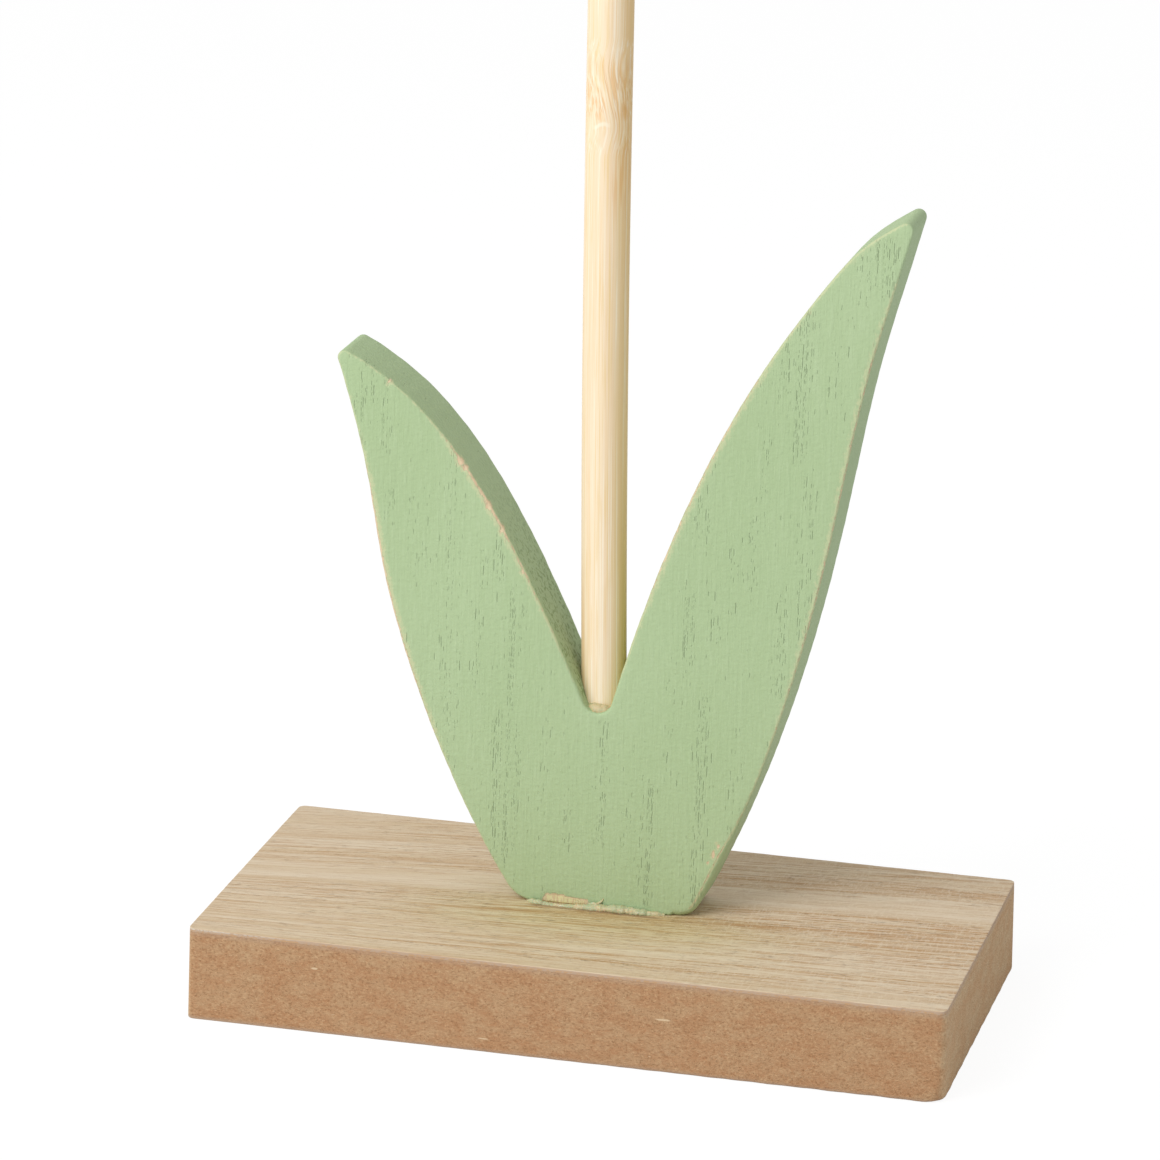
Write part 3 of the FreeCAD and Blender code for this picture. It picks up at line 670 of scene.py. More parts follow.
# a point that lies farther past an arris than this is on a side
SIDE_START = 0.3 * MM
LEAF_STEP = 0.3 * MM
LEAF_GRID = 0.8 * MM
NOTCH_SHARES = (-0.015, 0.235)
LEAF_CURVE_SHARES = (
    ((-0.157, 0.0), (-0.274, 0.135), (-0.442, 0.491), (-0.416, 0.576), (-0.496, 0.763)),
    ((-0.496, 0.763), (-0.31, 0.7), (-0.2, 0.581), NOTCH_SHARES),
    (NOTCH_SHARES, (0.103, 0.605), (0.395, 0.951), (0.415, 0.955), (0.504, 1.0)),
    ((0.504, 1.0), (0.449, 0.831), (0.421, 0.793), (0.322, 0.268), (0.154, 0.0)),
    ((0.154, 0.0), (0.05, 0.0), (-0.05, 0.0), (-0.157, 0.0)),
)
LEAF_CORNER_RADII = (LEFT_FOOT_RADIUS, LEAF_TIP_RADIUS, NOTCH_RADIUS, LEAF_TIP_RADIUS, RIGHT_FOOT_RADIUS)
CORNER_REACH = 14 * MM

# pores lean and wander like the grain, and lie in layers through the wood
PORE_SLOPE = 0.02
GRAIN_LEAN = math.radians(1.2)
PORE_WOBBLE = 0.3 * MM
PORE_LAYER = 0.7 * MM
# columns and greatest lengths of the two kinds of pores
LONG_PORE_SIZES = (0.28 * MM, 1.7 * MM)
SHORT_PORE_SIZES = (0.22 * MM, 0.75 * MM)


def cubic_spline(handles, count=1400):
    """Points along a clamped uniform cubic spline."""
    handles = np.array(handles, float)
    spans = len(handles) - 3
    knots = np.concatenate([[0] * 3, np.arange(spans + 1), [spans] * 3])
    places = np.linspace(0, spans - 1e-9, count)
    weights = [np.where((knots[n] <= places) & (places < knots[n + 1]), 1.0, 0.0)
               for n in range(len(knots) - 1)]
    for degree in (1, 2, 3):
        raised = []
        for n in range(len(weights) - 1):
            left, right = knots[n + degree] - knots[n], knots[n + degree + 1] - knots[n + 1]
            up = (places - knots[n]) / left if left else 0
            down = (knots[n + degree + 1] - places) / right if right else 0
            raised.append(up * weights[n] + down * weights[n + 1])
        weights = raised
    return np.array(weights).T @ handles


def rounded_corner(before, after, radius):
    """Cuts the corner between two curves back to an arc that touches both."""
    def ahead(curve):
        """The curve's direction at each of its points."""
        way = np.gradient(curve, axis=0)
        return way / np.linalg.norm(way, axis=1)[:, None]

    last, first = ahead(before)[-1], ahead(after)[0]
    side = math.copysign(radius, last[0] * first[1] - last[1] * first[0])
    near = [np.linalg.norm(curve - after[0], axis=1) < CORNER_REACH for curve in (before, after)]
    offsets = [curve + side * np.column_stack([-ahead(curve)[:, 1], ahead(curve)[:, 0]])
               for curve in (before, after)]
    apart = np.linalg.norm(offsets[0][near[0]][:, None] - offsets[1][near[1]][None], axis=2)
    row, column = np.unravel_index(np.argmin(apart), apart.shape)
    row = np.flatnonzero(near[0])[row]
    column = np.flatnonzero(near[1])[column]
    middle = (offsets[0][row] + offsets[1][column]) / 2
    start, end = [math.atan2(*(point - middle)[::-1]) for point in (before[row], after[column])]
    turn = (end - start + math.pi) % (2 * math.pi) - math.pi
    arc = [middle + radius * np.array([math.cos(start + turn * share), math.sin(start + turn * share)])
           for share in np.linspace(0, 1, 16)]
    return before[:row], np.array(arc), after[column + 1:]


def cut_line(curves, radii, step):
    """One closed outline, anticlockwise, from curves that meet at rounded corners.

    Also returns for each point which curve it is nearest to.
    """
    curves = [cubic_spline(curve) for curve in curves]
    arcs = []
    for number, radius in enumerate(radii):
        before, after = number - 1, number
        if radius:
            curves[before], arc, curves[after] = rounded_corner(curves[before], curves[after], radius)
        else:
            arc = curves[after][:1]
        arcs.append(arc)
    whole = np.vstack([part for pair in zip(arcs, curves) for part in pair])
    line = evenly(whole[::-1], step)
    gaps = [np.min(np.linalg.norm(line[:, None] - curve[None, ::20], axis=2), axis=1) for curve in curves]
    return line, np.argmin(gaps, axis=0)


def chances_of(tree, cell):
    """Three random numbers for a cell."""
    noise = add(tree, "ShaderNodeTexWhiteNoise", {0: cell}).outputs["Color"]
    return add(tree, "ShaderNodeSeparateColor", {0: noise}).outputs


def pore_dashes(tree, place, fullness, column, longest):
    """Open pores as short upright dashes in columns, and a painted highlight on the right of each, where
    light would catch the pore's far wall.
    """
    x, y, z = parts_of(tree, place)
    wobble = noise_in(tree, place, (1.2, 1.2, 3), detail=2)
    leaning = math_of(tree, "MULTIPLY_ADD", z, -PORE_SLOPE, x)
    across = times(tree, math_of(tree, "MULTIPLY_ADD", wobble, PORE_WOBBLE, leaning), 1 / column)
    number = math_of(tree, "FLOOR", across)
    layer = math_of(tree, "FLOOR", times(tree, y, 1 / PORE_LAYER))
    start, favour, _ = chances_of(tree, vector_of(tree, number, layer))
    fullness = times(tree, fullness, smooth_step(tree, favour, 0.35, 0.8))
    climb = math_of(tree, "MULTIPLY_ADD", z, 1 / longest, start)
    cell = vector_of(tree, number, layer, math_of(tree, "FLOOR", climb))
    presence, length, sideways = chances_of(tree, cell)
    dash_place = math_of(tree, "MULTIPLY_ADD", sideways, 0.3, 0.3)
    off = math_of(tree, "SUBTRACT", math_of(tree, "FRACT", across), dash_place)
    from_middle = math_of(tree, "ABSOLUTE", math_of(tree, "SUBTRACT", math_of(tree, "FRACT", climb), 0.5))
    half = math_of(tree, "MULTIPLY_ADD", length, 0.34, 0.1)
    ends = smooth_step(tree, math_of(tree, "SUBTRACT", from_middle, half), 0.08, -0.08)
    there = times(tree, ends, math_of(tree, "LESS_THAN", presence, fullness))
    there = times(tree, there, math_of(tree, "MULTIPLY_ADD", length, 0.5, 0.5))
    dash = times(tree, smooth_step(tree, math_of(tree, "ABSOLUTE", off), 0.26, 0.02), there)
    right = math_of(tree, "ABSOLUTE", math_of(tree, "SUBTRACT", off, 0.32))
    return dash, times(tree, smooth_step(tree, right, 0.2, 0.04), there)


def painted_wood(name, paint, shade, light, thin, bare, fibre, clean, pore):
    """Thin matt paint on open-pored wood: dashes of pores with painted highlights beside them, fine ridges,
    and wear where marks say so.
    """
    material, tree = new_material(name)
    place = place_in(tree)
    lean = (0, -GRAIN_LEAN, 0)
    ridges = noise_in(tree, place, (0.42, 0.42, 7), detail=3, roughness=0.6, turned=lean)
    brush = noise_in(tree, place, (2.4, 2.4, 30), detail=2, turned=lean)
    furrows = noise_in(tree, place, (0.2, 0.2, 2.4), detail=2, roughness=0.6, turned=lean)
    peel = noise_in(tree, place, (0.75, 0.75, 0.5), detail=3, roughness=0.6)
    clouds = noise_in(tree, place, (30, 30, 60), detail=2)
    streams = mark_of(tree, "pore_streams")
    long_dash, long_painted_highlight = pore_dashes(
        tree, place, math_of(tree, "MULTIPLY_ADD", streams, 0.95, 0.006), *LONG_PORE_SIZES)
    short_dash, short_painted_highlight = pore_dashes(
        tree, place, math_of(tree, "MULTIPLY_ADD", streams, 0.9, 0.02), *SHORT_PORE_SIZES)
    dashes = math_of(tree, "MAXIMUM", long_dash, times(tree, short_dash, 0.75))
    painted_pore_highlights = math_of(tree, "MAXIMUM", long_painted_highlight, times(tree, short_painted_highlight, 0.75))
    colour = blend(tree, smooth_step(tree, clouds, 0.3, 0.7), paint, shade)
    colour = layered(
        tree, colour,
        (brush, 0.45, 0.7, 0.3, shade), (ridges, 0.52, 0.7, 0.16, light), (ridges, 0.47, 0.3, 0.35, shade),
        (furrows, 0.53, 0.68, 0.22, light), (furrows, 0.47, 0.32, 0.45, shade))
    end_grain = mark_of(tree, "end_grain")
    specks = noise_in(tree, place, (0.5, 0.45, 0.7), detail=2, roughness=0.6)
    specks = times(tree, smooth_step(tree, specks, 0.52, 0.6), end_grain)
    # the pale strips beside the pores are painted highlights, standing for light on each pore's far wall
    colour = laid(tree, colour, (painted_pore_highlights, 0.55, light), (dashes, 0.33, pore), (specks, 0.9, pore))
    wear = mark_of(tree, "wear")
    ragged = noise_in(tree, place, (0.4, 0.4, 0.8), detail=4, roughness=0.7)
    worn = math_of(tree, "ADD", wear, math_of(tree, "MULTIPLY_ADD", ragged, 1.2, -0.6))
    thin_share = times(tree, smooth_step(tree, worn, 0.12, 0.45), smooth_step(tree, wear, 0.04, 0.2))
    bare_share = times(tree, smooth_step(tree, worn, 0.55, 0.72), smooth_step(tree, wear, 0.2, 0.4))
    fibres = noise_in(tree, place, (0.25, 0.25, 2.5), detail=2)
    bare_wood = layered(tree, bare, (wear, 1.45, 1.8, 1.0, clean), (fibres, 0.48, 0.64, 0.55, fibre))
    colour = laid(tree, colour, (thin_share, 0.7, thin), (bare_share, 0.9, bare_wood))
    height = math_of(tree, "MULTIPLY_ADD", ridges, 0.6, times(tree, peel, 0.7))
    height = math_of(tree, "MULTIPLY_ADD", furrows, 0.35, height)
    height = math_of(tree, "MULTIPLY_ADD", dashes, -0.6, height)
    height = math_of(tree, "MULTIPLY_ADD", bare_share, -0.4, height)
    finish_material(tree, colour, 0.66, height, 0.14 * MM, gloss=0.25)
    return material


green_paint = painted_wood(
    "green_paint", srgb(179, 200, 157), srgb(171, 193, 148), srgb(192, 212, 172), srgb(204, 207, 164),
    srgb(228, 205, 170), srgb(216, 180, 150), srgb(238, 230, 182), srgb(134, 158, 110))

# pores lie in streams along the grain: middle, lower end, upper end, width and fullness
PORE_STREAMS = (
    (-33.0, 79, 86, 2.0, 0.9), (-30.3, 71, 82, 0.9, 0.9), (-33.8, 73, 79, 1.2, 0.8),
    (-29.7, 62, 68, 0.9, 0.7), (-26.8, 55, 67, 1.2, 0.6), (-24.0, 54, 69, 1.2, 0.7),
    (-21.2, 46, 73, 1.6, 0.95), (-21.4, 29, 45, 2.0, 0.9), (-14.9, 56, 62, 1.2, 0.7),
    (-13.3, 39, 55, 1.7, 0.95), (-14.3, 16, 38, 2.2, 0.95), (-12.6, 18, 36, 1.0, 0.8),
    (-0.8, 29, 39, 1.3, 0.8), (-0.7, 21, 31, 1.2, 0.7), (-5.3, 20, 29, 1.0, 0.6), (5.6, 14, 31, 1.5, 0.9),
    (2.7, 20, 28, 1.0, 0.5), (12.3, 14, 44, 2.0, 0.75), (10.4, 46, 56, 1.7, 0.9), (13.8, 50, 57, 1.8, 0.9),
    (15.4, 54, 63, 1.6, 0.7), (11.8, 64, 71, 1.4, 0.7), (18.2, 56, 68, 1.4, 0.5), (24.5, 76, 98, 2.2, 0.95),
    (25.3, 50, 74, 1.6, 0.9), (21.8, 83, 96, 1.6, 0.7), (22.5, 44, 58, 1.2, 0.6),
    (34.6, 98, 106, 3.4, 0.95), (31.9, 97, 103, 1.6, 0.8), (19.7, 67, 79, 1.0, 0.5),
    (28.8, 84, 96, 1.4, 0.4), (17.0, 24, 40, 1.3, 0.4), (-17.6, 40, 60, 1.0, 0.35),
    (-8.6, 22, 44, 1.2, 0.35), (8.4, 30, 48, 1.2, 0.4),
)
STREAM_END = 1.5
# how wide the sanded arris shows on the front, as pairs of height and width, on the four curves in
# the order of LEAF_CURVE_SHARES and along the foot
FRONT_WEAR = (
    ((12, 0.3), (26, 0.4), (34, 0.6), (45, 0.75), (62, 0.8), (69, 0.65), (74, 0.45), (86, 0.35)),
    ((36, 0.0), (42, 0.15), (48, 0.4), (55, 0.6), (60, 0.66), (66, 0.85), (73, 0.7), (76, 0.35), (86, 0.28)),
    ((36, 0.0), (42, 0.2), (48, 0.45), (60, 0.68), (84, 0.64), (92, 0.48), (107, 0.42), (109, 0.3)),
    ((12, 0.45), (20, 0.5), (30, 0.35), (38, 0.45), (50, 0.6), (90, 0.6), (98, 0.5), (102, 0.1), (109, 0.1)),
    ((12, 0.2), (14, 0.2)),
)
BACK_WEAR = 0.45
# how much end grain shows on the left leaf's inner side, as pairs of height and share
END_GRAIN = ((38, 0), (40, 1), (55, 0.9), (72, 0))
WEAR_OUTER_REACH = 0.2
# an arris of more than this share of the usual one counts as wide
WIDE_SHARE = 1.3
# spots where the paint has chipped off: middle, half width and half height, on the front
CHIP_WEAR = 1.0
CHIPS = (
    (-30.0, 81.4, 0.25, 0.22), (-20.4, 71.6, 0.5, 0.5), (-19.7, 70.8, 0.4, 0.4),
    (-16.5, 66.0, 0.4, 0.9), (-14.7, 63.0, 0.3, 0.6), (-11.8, 57.6, 0.1, 0.4),
    (13.7, 20.5, 0.12, 0.3), (14.4, 21.6, 0.15, 0.4), (15.0, 22.9, 0.12, 0.4),
)
CHIP_DEPTH = 0.1 * MM
# and the clean patch at the foot, in the same order
PATCH_WEAR = 5.0
PATCHES = (
    (-7.7, 12.9, 0.5, 0.7), (-6.8, 12.9, 0.65, 0.74), (-5.8, 12.85, 0.75, 0.7), (-4.8, 12.75, 0.75, 0.62),
    (-3.8, 12.6, 0.75, 0.55), (-2.8, 12.45, 0.65, 0.45),
)


def stream_fullness(points, streams):
    """How full of pores the wood is at each point, from 0 to 1."""
    full = np.zeros(len(points))
    climb = points[:, 1] / MM
    for middle, low, high, width, amount in streams:
        across = points[:, 0] / MM - middle - PORE_SLOPE * (climb - (low + high) / 2)
        ends = np.prod([np.clip(inside / STREAM_END + 0.5, 0, 1)
                        for inside in (climb - low, high - climb)], axis=0)
        full = np.maximum(full, amount * ends * np.exp(-(2 * across / width) ** 2))
    return full


leaf_scale = np.array([LEAF_SPAN, LEAF_RISE])
leaf_curves = [np.array(curve) * leaf_scale + np.array([0, VENEER_HIGH.z]) for curve in LEAF_CURVE_SHARES]
leaf_outline, leaf_parts = cut_line(leaf_curves, LEAF_CORNER_RADII, LEAF_STEP)
leaf_run = run_of(leaf_outline)
leaf_outline += inward(leaf_outline) * (SAW_WANDER * waves(leaf_run, 31, 9 * MM, 4 * MM, 2 * MM))[:, None]
front_arris = PAINTED_ARRIS * (1 + 0.25 * waves(leaf_run, 32, 11 * MM, 5 * MM))
back_arris = PAINTED_ARRIS * (1 + 0.25 * waves(leaf_run, 33, 12 * MM, 5 * MM))
# sanded wider at the right end of the foot
front_arris += WIDE_ARRIS * np.where(leaf_outline[:, 0] > WIDE_ARRIS_LEFT_END, np.clip(
    (WIDE_ARRIS_TOP - leaf_outline[:, 1]) / WIDE_ARRIS_FADE, 0, 1), 0)
leaf_points, leaf_faces, leaf_past = flat_stock(
    leaf_outline, LEAF_FRONT, LEAF_BACK, front_arris, back_arris, LEAF_GRID, side_rows=9)


def edge_wear(points, past, outline, arris, parts, table, back_width, front, back):
    """How worn the paint is at each point: most along the middle of the arrises.

    Where the front arris is wide, the wear runs along its edge to the face.
    """
    numbers, _ = nearest(points[:, :2], outline)
    near_front = points[:, 2] < (front + back) / 2
    widened = np.where(near_front, np.clip(arris[numbers] - PAINTED_ARRIS * WIDE_SHARE, 0, None), 0)
    past = past + widened
    width = np.zeros(len(points))
    for part, stops in enumerate(table):
        here = parts[numbers] == part
        heights, widths = zip(*stops)
        width[here] = np.interp(points[here, 1] / MM, heights, widths)
    width = np.where(near_front, width, width * 0.5 + back_width * 0.5)
    reach = np.where(past < 0, 0.1 + 0.42 * width, WEAR_OUTER_REACH)
    reach = np.where(widened > 0, reach * 0.6, reach)
    width = np.where(widened > 0, width * 1.5, width)
    return np.clip(width * 1.05, 0, 0.95) * np.exp(-(past / MM / reach) ** 2)


leaf_wear = edge_wear(leaf_points, leaf_past, leaf_outline, front_arris, leaf_parts, FRONT_WEAR, BACK_WEAR,
                      LEAF_FRONT, LEAF_BACK)
on_front = leaf_points[:, 2] < LEAF_FRONT + PAINTED_ARRIS * 2
for chips, depth, steepness in ((CHIPS, CHIP_WEAR, 2), (PATCHES, PATCH_WEAR, 4)):
    for chip_x, chip_z, half_width, half_height in chips:
        apart = np.hypot((leaf_points[:, 0] / MM - chip_x) / half_width,
                         (leaf_points[:, 1] / MM - chip_z) / half_height)
        apart = apart - apart[on_front].min()
        chipped = np.where(on_front, depth * np.exp(-0.9 * apart ** steepness), 0)
        leaf_wear = np.maximum(leaf_wear, chipped)
        leaf_points[:, 2] += CHIP_DEPTH * np.clip(chipped, 0, 1)
leaf_pores = np.where(leaf_past > SIDE_START, 0, stream_fullness(leaf_points, PORE_STREAMS))
# the left leaf's inner side shows end grain low down
inner_side = (leaf_past > SIDE_START) & (leaf_points[:, 0] < -2 * MM) & (leaf_points[:, 0] > -22 * MM)
end_grain = np.where(inner_side, np.interp(leaf_points[:, 1] / MM, *zip(*END_GRAIN)), 0)
leaf_object = new_piece("leaves", leaf_points[:, [0, 2, 1]], leaf_faces, green_paint)
keep_marks(leaf_object, "wear", leaf_wear)
keep_marks(leaf_object, "pore_streams", leaf_pores)
keep_marks(leaf_object, "end_grain", end_grain)
stands_for(leaf_object, "leaf_pair")

# The stem: a round bamboo stick, glued into a hole in the notch. It leans to the left and bows back
# to upright, and one of the bamboo's nodes lies a third of the way up.
STEM_RADIUS = 2.95 * MM
STEM_LENGTH = 221 * MM
STEM_LOWER_LENGTH = 23 * MM
STEM_BEND_LENGTH = 70 * MM
STEM_LEAN = math.radians(1.2)
STEM_TOP_LEAN = math.radians(0.1)
STEM_SEAT = Vector((-1.5 * MM, 2.5 * MM, 27.11 * MM))
STEM_STEP = 1.0 * MM
STEM_SIDES = 96
NODE_HEIGHT = 93.2 * MM
# the ways that the cane's skin and its pith faced in the stick
SKIN_WAY = (0.97, 0.24, 0)
PITH_WAY = (-0.24, 0.97, 0)
STEM_SUM_STEPS = 400
STEM_UNEVENNESS = 0.05 * MM
NODE_SWERVE = 0.7 * MM
# lumps per metre across, deep and along
STEM_LUMPS = (420.0, 420.0, 26.0)


def lean_at(along):
    """The stem's lean at a length along it."""
    share = min(max((along - STEM_LOWER_LENGTH) / STEM_BEND_LENGTH, 0), 1)
    return STEM_LEAN + (STEM_TOP_LEAN - STEM_LEAN) * share


def on_stem(along):
    """The point on the stem's middle line at a length along it."""
    spot = STEM_SEAT.copy()
    for number in range(STEM_SUM_STEPS):
        angle = lean_at(along * (number + 0.5) / STEM_SUM_STEPS)
        spot += Vector((-math.sin(angle), 0, math.cos(angle))) * (along / STEM_SUM_STEPS)
    return spot


BAMBOO_CREAM = srgb(247, 229, 199)
BAMBOO_PALE = srgb(252, 242, 220)
BAMBOO_HONEY = srgb(238, 208, 152)
BAMBOO_PINK = srgb(245, 221, 188)
BAMBOO_SKIN = srgb(240, 202, 136)
BAMBOO_BROWN = srgb(232, 182, 116)
# the olive stands for painted green bounce light from the leaves
STEM_BOUNCE_OLIVE = srgb(222, 186, 104)

bamboo, tree = new_material("bamboo")
place = place_in(tree)
middle = mark_of(tree, "middle", "Vector")
along = mark_of(tree, "along")
offset = vectors(tree, "SUBTRACT", place, middle)
across = vectors(tree, "DOT_PRODUCT", offset, SKIN_WAY)
deep = vectors(tree, "DOT_PRODUCT", offset, PITH_WAY)
from_node = math_of(tree, "SUBTRACT", along, NODE_HEIGHT)
at_node = smooth_step(tree, math_of(tree, "ABSOLUTE", from_node), 8 * MM, 2 * MM)
round_place = vector_of(tree, across, deep, along)
swirl = noise_in(tree, round_place, (2, 2, 6), detail=1)
swerve = math_of(tree, "MULTIPLY_ADD", math_of(tree, "SUBTRACT", swirl, 0.5), NODE_SWERVE, times(
    tree, from_node, 0.2))
swerved = math_of(tree, "ADD", across, times(tree, swerve, at_node))
stick_place = vector_of(tree, swerved, deep, along)
wide_streaks = noise_in(tree, stick_place, (1.2, 1.2, 70), detail=2)
streaks = noise_in(tree, stick_place, (0.26, 0.26, 38), detail=3, roughness=0.6)
hairs = noise_in(tree, stick_place, (0.16, 0.16, 9), detail=2)
fibres = noise_in(tree, stick_place, (0.22, 0.22, 7), detail=1, roughness=0.5)
colour = blend(tree, smooth_step(tree, wide_streaks, 0.4, 0.6), BAMBOO_CREAM, BAMBOO_PINK)
colour = layered(tree, colour, (across, 0.2 * MM, 2.9 * MM, 0.75, BAMBOO_SKIN))
# painted light: an olive tint low on the stick's right side stands for the green light that the leaves cast
# back on it; the left edge is browner low down
painted_stem_bounce = times(tree, smooth_step(tree, across, 1.2 * MM, 2.8 * MM), smooth_step(
    tree, along, 50 * MM, 26 * MM))
low_edge = times(tree, smooth_step(tree, across, -2.2 * MM, -2.9 * MM), smooth_step(
    tree, along, 34 * MM, 20 * MM))
colour = laid(tree, colour, (painted_stem_bounce, 0.45, STEM_BOUNCE_OLIVE), (low_edge, 0.6, BAMBOO_BROWN))
colour = layered(
    tree, colour,
    (streaks, 0.53, 0.66, 0.75, BAMBOO_HONEY), (streaks, 0.47, 0.34, 0.7, BAMBOO_PALE),
    (hairs, 0.55, 0.66, 0.5, BAMBOO_HONEY))
short_fibres = times(tree, smooth_step(tree, fibres, 0.53, 0.62), smooth_step(
    tree, math_of(tree, "ABSOLUTE", math_of(tree, "SUBTRACT", from_node, 1 * MM)), 6 * MM, 2 * MM))
pale_fibres = times(tree, smooth_step(tree, fibres, 0.46, 0.36), at_node)
# below the node the right side is tan in streaks, with a knot of orange just under the fibres
under_node = times(tree, smooth_step(tree, math_of(tree, "ABSOLUTE", math_of(
    tree, "ADD", from_node, 9 * MM)), 9 * MM, 2 * MM), smooth_step(tree, across, 0.0, 1.2 * MM))
under_node = times(tree, under_node, smooth_step(tree, fibres, 0.46, 0.6))
colour = laid(
    tree, colour,
    (short_fibres, 0.6, BAMBOO_BROWN), (pale_fibres, 0.3, BAMBOO_PALE), (under_node, 0.6, BAMBOO_BROWN))
knot_place = vector_of(tree, math_of(tree, "SUBTRACT", across, 1.9 * MM), math_of(
    tree, "MULTIPLY_ADD", from_node, 0.5, 1 * MM))
knot_reach = vectors(tree, "LENGTH", knot_place)
colour = layered(tree, colour, (knot_reach, 0.8 * MM, 0.2 * MM, 0.6, BAMBOO_BROWN))
scallop = math_of(tree, "ABSOLUTE", math_of(tree, "MULTIPLY_ADD", swirl, 5 * MM, math_of(
    tree, "ADD", from_node, 1.6 * MM)))
scallop_share = times(tree, smooth_step(tree, scallop, 0.6 * MM, 0.15 * MM), smooth_step(
    tree, math_of(tree, "ABSOLUTE", math_of(tree, "ADD", across, 0.9 * MM)), 1.3 * MM, 0.6 * MM))
colour = laid(tree, colour, (scallop_share, 0.6, BAMBOO_PALE))
stick_height = math_of(tree, "MULTIPLY_ADD", streaks, 0.5, times(tree, hairs, 0.4))
stick_height = math_of(tree, "MULTIPLY_ADD", short_fibres, -0.4, stick_height)
finish_material(tree, colour, 0.55, stick_height, 0.05 * MM, gloss=0.2)


def new_tree(name, sizes):
    """A geometry tree with a geometry input and output, and named inputs with their values."""
    tree = bpy.data.node_groups.new(name, "GeometryNodeTree")
    tree.interface.new_socket("Geometry", in_out="INPUT", socket_type="NodeSocketGeometry")
    tree.interface.new_socket("Geometry", in_out="OUTPUT", socket_type="NodeSocketGeometry")
    for label, value in sizes.items():
        kind = "NodeSocketInt" if isinstance(value, int) else "NodeSocketFloat"
        tree.interface.new_socket(label, in_out="INPUT", socket_type=kind)
    return tree, tree.nodes.new("NodeGroupInput").outputs, tree.nodes.new("NodeGroupOutput").inputs


def close_tree(tree, geometry, material, result):
    """Ends a geometry tree: what it made becomes real and takes its material."""
    real = add(tree, "GeometryNodeRealizeInstances", {"Geometry": geometry})
    dressed = add(tree, "GeometryNodeSetMaterial", {"Geometry": real.outputs[0], "Material": material})
    tree.links.new(dressed.outputs[0], result["Geometry"])


def grown(carrier, tree, sizes, name):
    """Runs a geometry tree on an object and turns the result into a plain mesh piece."""
    modifier = carrier.modifiers.new("grow", "NODES")
    modifier.node_group = tree
    for item in tree.interface.items_tree:
        if item.in_out == "INPUT" and item.name in sizes:
            modifier[item.identifier] = sizes[item.name]
    scene.view_layers[0].update()
    ready = carrier.evaluated_get(bpy.context.evaluated_depsgraph_get())
    mesh = bpy.data.meshes.new_from_object(ready)
    mesh.name = name
    carrier.modifiers.remove(modifier)
    bpy.data.objects.remove(carrier)
    piece = bpy.data.objects.new(name, mesh)
    scene.collection.objects.link(piece)
    return piece


stem_sizes = {"Radius": STEM_RADIUS, "Sides": STEM_SIDES, "Unevenness": STEM_UNEVENNESS}
stem_tree, given, result = new_tree("stem_along_its_path", stem_sizes)
length_along = add(stem_tree, "GeometryNodeSplineParameter").outputs["Length"]
path = add(stem_tree, "GeometryNodeStoreNamedAttribute", {
    "Geometry": given["Geometry"], "Name": "along", "Value": length_along},
    data_type="FLOAT", domain="POINT")
spot = add(stem_tree, "GeometryNodeInputPosition").outputs[0]
path_marked = add(stem_tree, "GeometryNodeStoreNamedAttribute", {
    "Geometry": path.outputs[0], "Name": "middle", "Value": spot},
    data_type="FLOAT_VECTOR", domain="POINT")
circle = add(stem_tree, "GeometryNodeCurvePrimitiveCircle", {
    "Resolution": given["Sides"], "Radius": given["Radius"]})
tube = add(stem_tree, "GeometryNodeCurveToMesh", {
    "Curve": path_marked.outputs[0], "Profile Curve": circle.outputs["Curve"], "Fill Caps": True})
uneven = add(stem_tree, "ShaderNodeTexNoise", {
    "Vector": vectors(stem_tree, "MULTIPLY", spot, STEM_LUMPS), "Scale": 1.0, "Detail": 2.0})
level = math_of(stem_tree, "SUBTRACT", uneven.outputs[0], 0.55)
outwards = add(stem_tree, "GeometryNodeInputNormal").outputs[0]
shift = vectors(stem_tree, "SCALE", outwards, scale=times(stem_tree, level, given["Unevenness"]))
moved = add(stem_tree, "GeometryNodeSetPosition", {"Geometry": tube.outputs[0], "Offset": shift})
smooth = add(stem_tree, "GeometryNodeSetShadeSmooth", {"Geometry": moved.outputs[0], "Shade Smooth": True})
close_tree(stem_tree, smooth.outputs[0], bamboo, result)

stem_line = bpy.data.curves.new("stem_line", "CURVE")
stem_line.dimensions = "3D"
stem_spline = stem_line.splines.new("POLY")
stem_spots = [on_stem(length) for length in np.linspace(0, STEM_LENGTH, int(STEM_LENGTH / STEM_STEP) + 1)]
stem_spline.points.add(len(stem_spots) - 1)
for point, spot in zip(stem_spline.points, stem_spots):
    point.co = (*spot, 1)
stem_carrier = bpy.data.objects.new("stem_line", stem_line)
scene.collection.objects.link(stem_carrier)
stick = grown(stem_carrier, stem_tree, stem_sizes, "stick")
stands_for(stick, "stem")

